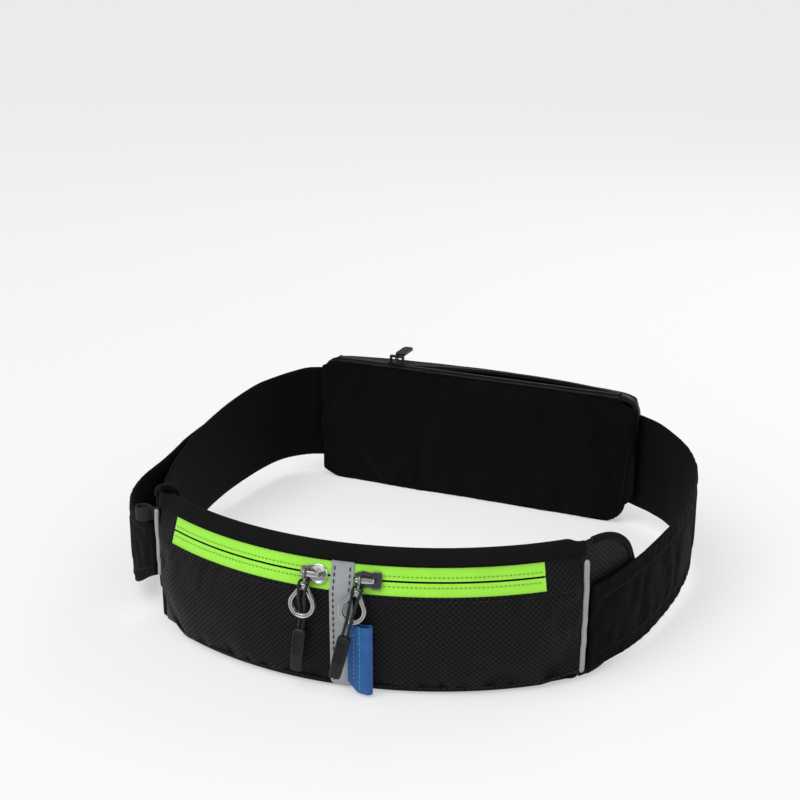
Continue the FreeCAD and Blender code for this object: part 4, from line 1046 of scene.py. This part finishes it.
def ribbon_loop():
    low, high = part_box("webbing_loop")
    outer = (high.y - low.y) / 2
    centre = Vector((low.x + outer, (low.y + high.y) / 2, (low.z + high.z) / 2))
    radius = outer - 0.45 * MM
    loop = [Vector((high.x - back, centre.y - 0.6 * MM, centre.z)) for back in (0.3 * MM, 2.5 * MM)]
    for a in np.linspace(-0.5, 2 * math.pi + 0.5, 44)[4:-4]:
        loop.append(centre + Vector((math.cos(a) * radius, math.sin(a) * radius * 0.86, 0)))
    loop += [Vector((high.x - back, centre.y + 0.5 * MM, centre.z)) for back in (2.5 * MM, 0.3 * MM)]
    flat_tube("ribbon_loop", loop, [UP] * len(loop), high.z - low.z, 0.85 * MM, "webbing", "pack",
              ("webbing_loop",), power=0.35)


def label():
    low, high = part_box("side_label")
    root = Vector((*joints["label_lift"]["pos_m"][:2], 0))
    fold_radius = 2.4 * MM
    layer = 0.6 * MM
    heights = 16
    fold = Vector((high.x - fold_radius, low.y + fold_radius, 0))
    r = fold_radius - layer / 2
    across = Vector((0, 1, 0))
    shares = np.linspace(0, 1, 10)
    plan = []
    for t in shares[:-1]:
        swell = across * 0.35 * MM * math.sin(math.pi * t)
        plan.append((root - across * 0.4 * MM).lerp(fold - across * r, t) - swell)
    for a in np.linspace(-math.pi / 2, math.pi / 2, 13):
        plan.append(fold + Vector((math.cos(a) * r, math.sin(a) * r, 0)))
    for t in shares[1:]:
        plan.append((fold + across * r).lerp(root + across * 0.4 * MM, t))
    outer = []
    inner = []
    uv = []
    for k, (p, gone) in enumerate(zip(plan, lengths(plan))):
        along = heading(plan, k)
        out = Vector((along.y, -along.x, 0)) * layer / 2
        foot = low.z + max(0.0, 1 - (p.x - root.x) / (6 * MM)) * 5.0 * MM
        levels = spread(foot, high.z - 0.25 * MM * (1 + math.sin(p.x * 600)), heights)
        column = []
        for z in levels:
            lean = wrinkle((p.x, p.y, z), 12 * MM, 0.25 * MM, 11.0) * min(1.0, gone / (6 * MM))
            column.append(p + Vector((0, lean, z)))
        outer.append([middle + out for middle in column])
        inner.append([middle - out for middle in column])
        uv.append([(gone, z) for z in levels])
    slab("ribbon_label", outer, inner, uv, "blue", "label", ("side_label",))
    line = outer[3][2:heights - 1]
    stitches("label_stitches", [(line, [-across] * len(line))], "blue_thread", "label", 1.6 * MM, 0.9 * MM,
             0.4 * MM)


# ---- wings and belts ----
def wings(back):
    right = follow("right_wing", fan("right_wing", 26, 0.8 * MM), 0.8 * MM, 4, first=3 * MM)
    # its top edge leaves the rim band without a step
    right = [(m, n, half, (low, rim_z + (high - rim_z) * min(1.0, k / 6)), s)
             for k, (m, n, half, (low, high), s) in enumerate(right)]
    padded_band("wing_right", right, (), 0.0, "diamond", "pack", "right_wing", wave=0.4 * MM, seed=21.0,
                edge=0.8 * MM)
    outline = [(m, n, z) for m, n, _, (low, z), _ in right[2:]]
    binding("wing_right_binding", outline + [(m, n, z) for m, n, _, (z, high), _ in right[:1:-1]])

    # the left end starts along the back panel and curls in
    start, normal, _, (low, high), _ = back[0]
    along = (back[0][0] - back[2][0]).normalized()
    inward = -facing(Vector((along.y, -along.x, 0)), normal)
    radius = 7 * MM
    centre = start + inward * radius
    stations = []
    for k, turn in enumerate(spread(0, math.radians(165), 22)):
        spoke = along * math.sin(turn) - inward * math.cos(turn)
        droop = 5 * MM * max(0.0, (k - 12) / 9) ** 2
        stations.append([centre + spoke * radius * (1 + 0.12 * math.sin(2 * turn)), spoke, 0.9 * MM,
                         (1 * MM + droop, high - 0.6 * MM - droop), radius * turn])
    padded_band("wing_left", stations, (), 0.0, "smooth", "pack", "left_wing", wave=0.2 * MM, seed=31.0,
                edge=0.8 * MM)
    binding("wing_left_binding", [(m, n, z) for m, n, _, (_, z), _ in stations[1:-1]])


def binding(name, outline):
    """Folded black binding over an edge, with a row of stitches on its outer face."""
    points = [m + UP * z for m, _, z in outline]
    middle = sum((m for m, _, _ in outline), Vector()) / len(outline) + UP * 40 * MM
    kept = [0]
    for k in range(1, len(points)):
        if (points[k] - points[kept[-1]]).length > 1.2 * MM:
            kept.append(k)
    points = [points[k] for k in kept]
    normals = [outline[k][1] for k in kept]
    ways = [facing(heading(points, k).cross(normals[k]).normalized(), middle - p) for k, p in enumerate(points)]
    points = [p + w * 2.1 * MM for p, w in zip(points, ways)]
    flat_tube(name, points, ways, 4.6 * MM, 3.0 * MM, "smooth", "pack", power=0.55)
    line = [p + w * 1.2 * MM + n * 1.6 * MM for p, w, n in zip(points, ways, normals)]
    stitches(name + "_stitches", [(line, normals)], "black_thread", "pack", 1.9 * MM, 0.9 * MM, 0.36 * MM)


def belt(name, stations, node, rider, seams, puff, wave, seed):
    outside, columns = padded_band(name, stations, seams, puff, "neoprene", rider, node, wave=wave, seed=seed,
                                   swell=4.0)
    band_stitches(name.replace("_outer", "") + "_stitches", outside, columns, rider)


def belts():
    sewn = (10 * MM, 9.5 * MM)
    right = follow("right_belt", fan("right_belt", 74), passes=14, last=9 * MM, steady=True)
    belt("belt_right", right, "right_belt", "pack", sewn, 0.9 * MM, 0.9 * MM, 1.0)
    hinge = Vector(joints["belt_open"]["pos_m"])
    rider = ("pack", "left_belt", hinge + rear_along * 1 * MM, hinge - rear_along * 16 * MM)
    left = follow("left_belt", fan("left_belt", 60), passes=14, first=5 * MM, steady=True)
    belt("belt_left", left, "left_belt", rider, sewn, 0.6 * MM, 0.3 * MM, 2.0)

    # the closure tab's lower front corner is raised
    hinge = Vector(joints["tab_peel"]["pos_m"])
    foot = Vector((hinge.x, hinge.y, 0))
    tab = follow("closure_tab", fan("closure_tab", 56), passes=10)
    ordered = tab if (tab[0][0] - hinge).length <= (tab[-1][0] - hinge).length else tab[::-1]
    for station in ordered:
        gone = min(1.0, abs(station[4] - ordered[0][4]) / (34 * MM))
        station[3] = (station[3][0] + 9 * MM * (1 - gone) ** 2, station[3][1])
    away = (ordered[5][0] - ordered[0][0]).normalized()
    rider = ("pack", "closure_tab", foot - away * 1 * MM, foot + away * 14 * MM)
    belt("tab_outer", tab, "closure_tab", rider, (9 * MM, 8.5 * MM), 0.7 * MM, 0.5 * MM, 3.0)
    for name in ("loop_patch", "hook_patch"):
        nodes[name].data.materials[0] = mats["hook"]


# ---- rear pouch ----
REAR_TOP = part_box("rear_inner_panel")[1].z
SLIDER_U = -50 * MM
ZIP_V = -2 * MM
SLIT = 0.7 * MM
COIL = 1.6 * MM
rear_origin = Vector((rear_bar.x, rear_bar.y, 0)) - rear_along * SLIDER_U - rear_out * ZIP_V
rear_cloud = [v.co - rear_origin for v in nodes["rear_inner_panel"].data.vertices]
REAR_LEFT = min(p.dot(rear_along) for p in rear_cloud)
REAR_RIGHT = max(p.dot(rear_along) for p in rear_cloud)
REAR_FOOT = REAR_RIGHT - 7.5 * MM
REAR_NEAR = min(p.dot(rear_out) for p in rear_cloud)
REAR_FAR = 4 * MM
REAR_BULGE = 12 * MM
ZIP_U0 = -92 * MM
ZIP_U1 = 107 * MM
MOUTH_U0 = SLIDER_U + 5.75 * MM
MOUTH = 11 * MM
TAPE_V0 = REAR_NEAR + 1.2 * MM


def rear(u, v, z=0.0):
    """Point from the rear pouch's own place: u along it, v outward, z up."""
    return rear_origin + rear_along * u + rear_out * v + UP * z


def bow(u, u0, u1, height):
    """Height of an arc over a span, at one of its points."""
    half = (u1 - u0) / 2
    radius = (half ** 2 + height ** 2) / (2 * height)
    return height - radius + math.sqrt(radius ** 2 - (u - u0 - half) ** 2)


def far_face(u):
    """Outer panel's distance behind the belt line."""
    return REAR_FAR + bow(u, REAR_LEFT, REAR_RIGHT, REAR_BULGE)


def lip(u):
    """Far lip's distance behind the belt line: on the zip's line, then bowed out along the open mouth."""
    closed = ZIP_V + SLIT
    return closed + bow(u, MOUTH_U0, ZIP_U1, MOUTH) if MOUTH_U0 < u < ZIP_U1 else closed


def rear_rays(v):
    ends = 1.4 * MM
    return [(rear(u, v, 40 * MM), rear_out) for u in spread(REAR_LEFT + ends, REAR_RIGHT - ends, 64)]


def rear_ring():
    """Outline of the rear pouch as (u, z) points, from the zip's start over the left end and round to its end."""
    radius = 11 * MM
    steps = 6
    corners = [Vector(c) for c in ((ZIP_U0, REAR_TOP), (REAR_LEFT, REAR_TOP), (REAR_LEFT, 0), (REAR_FOOT, 0),
                                   (REAR_RIGHT, REAR_TOP), (ZIP_U1, REAR_TOP))]
    points = [corners[0]]
    for before, corner, after in zip(corners, corners[1:], corners[2:]):
        a = corner + (before - corner).normalized() * radius
        b = corner + (after - corner).normalized() * radius
        for t in (k / steps for k in range(steps + 1)):
            points.append(a * (1 - t) ** 2 + corner * (2 * t * (1 - t)) + b * t ** 2)
    points.append(corners[-1])
    dense = [points[0]]
    for a, b in zip(points, points[1:]):
        pieces = max(1, int((b - a).length / (4 * MM)))
        dense += [a.lerp(b, (k + 1) / pieces) for k in range(pieces)]
    return dense


def rear_side_strip():
    """Strip between the rear pouch's two faces, drawn in a little along both seams."""
    thick = 1.1 * MM
    outline = rear_ring()
    outer = []
    inner = []
    uv = []
    for k, (p, gone) in enumerate(zip(outline, lengths(outline))):
        along = heading(outline, k)
        side = facing(Vector((along.y, -along.x)), p - Vector((8 * MM, REAR_TOP / 2)))
        row = []
        for t, v in zip(spread(0, 1, 8), spread(TAPE_V0, far_face(p.x) - 1.0 * MM, 8)):
            swell = 0.9 * MM * (math.sin(math.pi * t) - 1)
            row.append((p.x + side.x * swell, v, max(0.3 * MM, p.y + side.y * swell)))
        outer.append([rear(*place) for place in row])
        inner.append([rear(u - side.x * thick, v, z - side.y * thick) for u, v, z in row])
        uv.append([(gone, v) for _, v, _ in row])
    slab("rear_side_strip", outer, inner, uv, "smooth", "pack", ("rear_gusset",))


def rear_pouch():
    near = follow("rear_inner_panel", rear_rays(-40 * MM), passes=0, last=3.5 * MM)
    for station in near:
        station[1] = -rear_out
        past = max(0.0, ((station[0] - rear_origin).dot(rear_along) - REAR_RIGHT + 26 * MM) / (26 * MM))
        station[3] = (station[3][0], station[3][1] - 6 * MM * past ** 2)
    padded_band("rear_near_pad", near, (), 2.6 * MM, "neoprene", "pack", "rear_inner_panel", wave=0.9 * MM,
                seed=41.0, swell=3.0, edge=4.5 * MM)
    far = follow("rear_outer_panel", rear_rays(1 * MM), passes=3)
    for station in far:
        station[1] = facing(station[1], rear_out)
    outside, columns = padded_band("rear_far_pad", far, (7 * MM, 7 * MM), 1.6 * MM, "neoprene", "pack",
                                   "rear_outer_panel", wave=0.8 * MM, seed=43.0, swell=3.0, edge=3.0 * MM)
    band_stitches("rear_far_stitches", outside, columns, "pack")
    rear_side_strip()

    # near tape: flat along the top; far tape: from the bowed lip to the outer face
    thick = 0.8 * MM
    u_run = spread(ZIP_U0, ZIP_U1, 80)
    v_run = spread(TAPE_V0, ZIP_V - SLIT, 4)
    rows = [[rear(u, v, REAR_TOP + 0.15 * MM * math.sin(u * 260 + v * 400)) for u in u_run] for v in v_run]
    under = [[p - UP * thick for p in row] for row in rows]
    slab("rear_tape_near", rows, under, [[(u, v) for u in u_run] for v in v_run], "tape", "pack",
         ("rear_near_tape",))
    shares = spread(0, 1, 6)
    rows = [[rear(u, lip(u) + (far_face(u) - 1.2 * MM - lip(u)) * t, REAR_TOP - 0.2 * MM * t) for u in u_run]
            for t in shares]
    under = [[p - UP * thick for p in row] for row in rows]
    tape = slab("rear_tape_far", rows, under, [[(u, 10 * MM * t) for u in u_run] for t in shares], "tape", "pack",
                ("rear_far_tape",))
    rear(0, far_face(0), REAR_TOP)
    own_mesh(tape)
    line = [rear(u, lip(u) + COIL / 2, REAR_TOP + 0.75 * MM) for u in u_run]
    coil = flat_tube("rear_coil_far", line, [rear_out] * len(line), COIL, 1.4 * MM, "coil", "pack",
                     ("rear_far_coil",))
    rear(0, ZIP_V + SLIT + COIL / 2, REAR_TOP)
    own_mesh(coil)
    nodes["rear_near_coil"].data.materials[0] = mats["coil"]

    # the coil's end turns down over the right corner, then runs straight
    bend = 12 * MM
    line = []
    for k in range(24):
        turn = math.pi / 2 * min(1.0, k / 14)
        drop = max(0, k - 14) * 1.3 * MM
        line.append(rear(ZIP_U1 + 1 * MM + bend * math.sin(turn) - drop * 0.08, ZIP_V,
                         REAR_TOP + 0.4 * MM - bend * (1 - math.cos(turn)) - drop))
    flat_tube("rear_coil_end", line, [rear_out] * len(line), 4.6 * MM, 1.9 * MM, "coil", "pack")

    # lining: a thin skin inside the near face, with a wavy edge that stands in the mouth
    u_run = spread(REAR_LEFT + 5 * MM, REAR_FOOT - 5 * MM, 90)
    rows = []
    for t in spread(0, 1, 12):
        row = []
        for u in u_run:
            open_share = clamp(min((u - MOUTH_U0) / (18 * MM), (ZIP_U1 - u) / (25 * MM)))
            wave = (math.sin(u * 190) * 0.9 + math.sin(u * 83 + 1.0) * 1.3 + 1.8) * MM
            v = REAR_NEAR + 2.0 * MM + (0.4 * MM + (wave + 1.0 * MM) * open_share) * t ** 2
            row.append(rear(u, v, 4 * MM + (REAR_TOP - 8.5 * MM + wave * 0.7 * open_share) * t))
        rows.append(row)
    uv = [[(u, 80 * MM * t) for u in u_run] for t in spread(0, 1, 12)]
    sheet_from("rear_lining_sheet", rows, uv, 0.35 * MM, "lining", "pack", ("rear_lining",))
    line = [rear(u, REAR_NEAR + 2.1 * MM, REAR_TOP + 0.15 * MM) for u in spread(ZIP_U0, ZIP_U1, 90)]
    stitches("rear_near_stitches", [(line, [UP] * len(line))], "black_thread", "pack", slot="black_tape")


# ---- sliders, pulls and cords ----
def polish(name, look, width=0.18 * MM):
    """Soften a metal casting's edges."""
    part = nodes[name]
    part.data.materials.clear()
    part.data.materials.append(mats[look])
    part.modifiers.new("weld", "WELD").merge_threshold = 0.00001
    bevel = part.modifiers.new("bevel", "BEVEL")
    bevel.width = width
    bevel.segments = 2
    bevel.limit_method = "ANGLE"
    bevel.angle_limit = math.radians(35)
    bevel.harden_normals = True


def hanging(side, tilt):
    """Matrix from a pull's own place, below its bridge bar, to the frame. Lengths in metres."""
    joint = joints[side + "_pull_swing"]
    along = -Vector(joint["axis"])
    basis = Matrix((along, UP.cross(along), UP)).transposed().to_4x4()
    lean = Matrix.Rotation(math.radians(-PULL_LEAN), 4, "X")
    return Matrix.Translation(Vector(joint["pos_m"])) @ basis @ lean @ Matrix.Rotation(math.radians(tilt), 4, "Y")


def route_line(points):
    """Points of the smooth curve that a cord's route makes."""
    curve = bpy.data.curves.new("route", "CURVE")
    curve.dimensions = "3D"
    curve.resolution_u = 10
    spline = curve.splines.new("NURBS")
    spline.points.add(len(points) - 1)
    for point, place in zip(spline.points, points):
        point.co = (*place, 1)
    spline.order_u = 3
    spline.use_endpoint_u = True
    holder = link("route", curve)
    mesh = bpy.data.meshes.new_from_object(holder)
    line = [Vector(v.co) for v in mesh.vertices]
    bpy.data.objects.remove(holder)
    return line


def braid(name, line):
    """Braided cord as a tube with a raised crossing pattern, along a smooth line."""
    corners = 24
    gone = lengths(line)
    count = int(gone[-1] / (0.22 * MM))
    coordinates = np.array([tuple(p) for p in line])
    places = np.linspace(0, gone[-1], count)
    even = [at_length(s, gone, coordinates) for s in places]
    side = Vector((0.3, 0.2, 1)).normalized()
    rings = []
    for k, (point, s) in enumerate(zip(even, places)):
        along = heading(even, k)
        side = (side - along * side.dot(along)).normalized()
        other = along.cross(side)
        ring = []
        for turn in range(corners):
            a = 2 * math.pi * turn / corners
            weave = math.sin(4 * a + s * 2900) * math.sin(4 * a - s * 2900)
            reach = CORD_DIAMETER / 2 * (0.97 + 0.06 * weave)
            ring.append(point + (side * math.cos(a) + other * math.sin(a)) * reach)
        rings.append(ring)
    return loft(name, rings, [[(s, turn * CORD_DIAMETER / 8) for turn in range(corners)] for s in places], "cord")


def pull_tip(name, place, y):
    """Moulded tip: rounded bar, a recessed face with plain ribs, and a faceted wedge below."""
    wide = 3.4 * MM
    deep = 2.3 * MM
    chamfer = 0.75 * MM
    slope = 0.15 * MM
    # share of the length, half width, half depth of the front, recess
    marks = [(0.0, 0.72, 0.70, 0), (0.02, 0.9, 0.86, 0), (0.05, 0.98, 0.96, 0), (0.08, 1, 1, 0), (0.115, 1, 1, 0),
             (0.125, 1, 1, 1)]
    rib = 0.14
    while rib < 0.54:
        marks += [(rib, 1, 1, 1), (rib + 0.008, 1, 1, 0.35), (rib + 0.022, 1, 1, 0.35), (rib + 0.03, 1, 1, 1)]
        rib += 0.058
    marks += [(0.56, 1, 1, 1), (0.57, 1, 1, 0), (0.63, 1, 1, 0), (0.645, 0.97, 0.97, 0), (0.9, 0.93, 0.50, 0),
              (0.95, 0.90, 0.42, 0), (0.985, 0.82, 0.34, 0), (1.0, 0.62, 0.22, 0)]
    rings = []
    uvs = []
    for share, w, d, recess in marks:
        z = (TIP_TOP - TIP_LENGTH * share) * MM
        half = wide * w
        front = -deep * d
        back = deep * (0.55 + 0.45 * d)
        floor = front + 0.55 * MM * recess
        inner = half - 1.1 * MM
        right = [(inner - slope, floor), (inner, front), (half - chamfer, front), (half, front + chamfer),
                 (half, back - chamfer), (half - chamfer, back)]
        left = [(-x, depth) for x, depth in right[::-1]]
        shape = left[2:] + right + left[:2]
        rings.append([place @ Vector((x, y + depth, z)) for x, depth in shape])
        uvs.append([(x, z) for x, _ in shape])
    return loft(name, rings, uvs, "plastic", sharp=28)


def ring_rims(side, place):
    """Raised rims along both edges of the pull ring's band, on its front and its back: closed round wires."""
    corners = 8
    radius = 0.34 * MM
    normal = place.to_3x3() @ Vector((0, 1, 0))
    points = []
    faces = []
    for face in (-0.72, 0.72):
        for offset in (-0.72, 0.72):
            big = 6.35 + offset
            small = 1.85 + offset
            slope = math.asin((big - small) / 8.4)
            arcs = [(big, slope - (math.pi + 2 * slope) * k / 32, 17.2) for k in range(33)]
            arcs += [(small, math.pi - slope - (math.pi - 2 * slope) * k / 12, 8.8) for k in range(13)]
            path = [place @ (Vector((r * math.cos(a), face, r * math.sin(a) - drop)) * MM) for r, a, drop in arcs]
            count = len(path)
            base = len(points)
            for k, point in enumerate(path):
                along = (path[(k + 1) % count] - path[k - 1]).normalized()
                out = along.cross(normal).normalized()
                b = base + (k + 1) % count * corners
                for turn in range(corners):
                    angle = 2 * math.pi * turn / corners
                    points.append(point + (out * math.cos(angle) + normal * math.sin(angle)) * radius)
                    after = (turn + 1) % corners
                    a = base + k * corners
                    faces.append((a + turn, a + after, b + after, b + turn))
    finish_mesh(side + "_ring_rims", points, faces, [(p[0], p[2]) for p in points], "bright", side + "_puller")


def boss(name, centre, ways, half, power, heights, look, rider):
    """Cast plate with a rounded outline, built up in steps of (height, scale) along its normal, in millimetres."""
    corners = 40
    rings = []
    for height, scale in heights:
        ring = []
        for k in range(corners):
            x, y = round_square(2 * math.pi * k / corners, power)
            ring.append(centre + (ways[0] * x * half[0] * scale + ways[1] * y * half[1] * scale
                                  + ways[2] * height) * MM)
        rings.append(ring)
    loft(name, rings, [[(h * MM, k * MM) for k in range(corners)] for h, _ in heights], look, rider, sharp=40)


def slider_detail(side):
    """Flared plate at the slider's wide end, round on the left and square on the right, and the bridge's cap."""
    joint = joints[side + "_pull_swing"]
    along = -Vector(joint["axis"])
    lean = math.atan2(ZIP_LEAN, zip_high_z - zip_low_z)
    normal = (along.cross(UP) * math.cos(lean) + UP * math.sin(lean)).normalized()
    ways = (along, facing(normal.cross(along).normalized(), UP), normal)
    bar = Vector(joint["pos_m"])
    foot = bar + along * 2.5 * MM - normal * 5.05 * MM
    if side == "left":
        steps = [(0.4, 0.92), (0.5, 1.0), (1.5, 1.0), (1.75, 0.95), (1.78, 0.86), (1.6, 0.8), (1.75, 0.4), (1.8, 0.1)]
        boss("left_slider_disc", foot + along * 3.4 * MM, ways, (5.1, 5.3), 1.0, steps, "bright", "left_slider")
    else:
        steps = [(0.4, 0.95), (0.5, 1.0), (1.6, 1.0), (1.8, 0.94), (1.8, 0.72), (1.45, 0.68), (1.45, 0.1)]
        boss("right_slider_flare", foot + along * 5.2 * MM, ways, (2.9, 4.7), 0.4, steps, "dark_metal", "right_slider")
    steps = [(-0.75, 0.93), (-0.6, 1.0), (0.4, 1.0), (0.75, 0.9), (0.85, 0.6)]
    boss(side + "_bridge_cap", bar + along * 2.3 * MM, ways, (5.1, 1.45), 0.45, steps, "bright", side + "_slider")


def pulls():
    for side, route, tilt in (("left", LEFT_CORD, LEFT_TILT), ("right", RIGHT_CORD, RIGHT_TILT)):
        place = hanging(side, tilt)
        points = [place @ (Vector(p) * MM) for p in route]
        line = route_line(points)
        cord = braid(side + "_cord", line)
        tip = pull_tip(side + "_tip", place, route[0][1] * MM)
        puller = side + "_puller"
        ring_rims(side, place)
        slider_detail(side)
        if side == "right":
            hinge = Vector(joints["right_cord_swing"]["pos_m"])
            down = (place.to_3x3() @ -UP).normalized()
            hinge + down * 1.2 * MM
            hinge + down * 8 * MM
            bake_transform(cord)
            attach(tip, "right_pull")
        else:
            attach(cord, puller)
            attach(tip, puller)
        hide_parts(side + "_pull_cord")
        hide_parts(side + "_pull_tip")
        polish(side + "_puller", "chrome", 0.25 * MM)
        polish(side + "_zip_stop", "stop", 0.1 * MM)
    polish("left_slider", "chrome")
    polish("right_slider", "dark_metal")
    polish("rear_slider", "black_metal")
    polish("rear_puller", "black_metal", 0.25 * MM)
    polish("rear_zip_stop", "black_metal", 0.1 * MM)


make_camera()
make_lights()
make_floor()
pulls()
front_pouch()
back = follow("back_panel", fan("back_panel", 70), passes=8)
back_and_floor(back)
pipings()
ribbon_loop()
label()
wings(back)
belts()
rear_pouch()
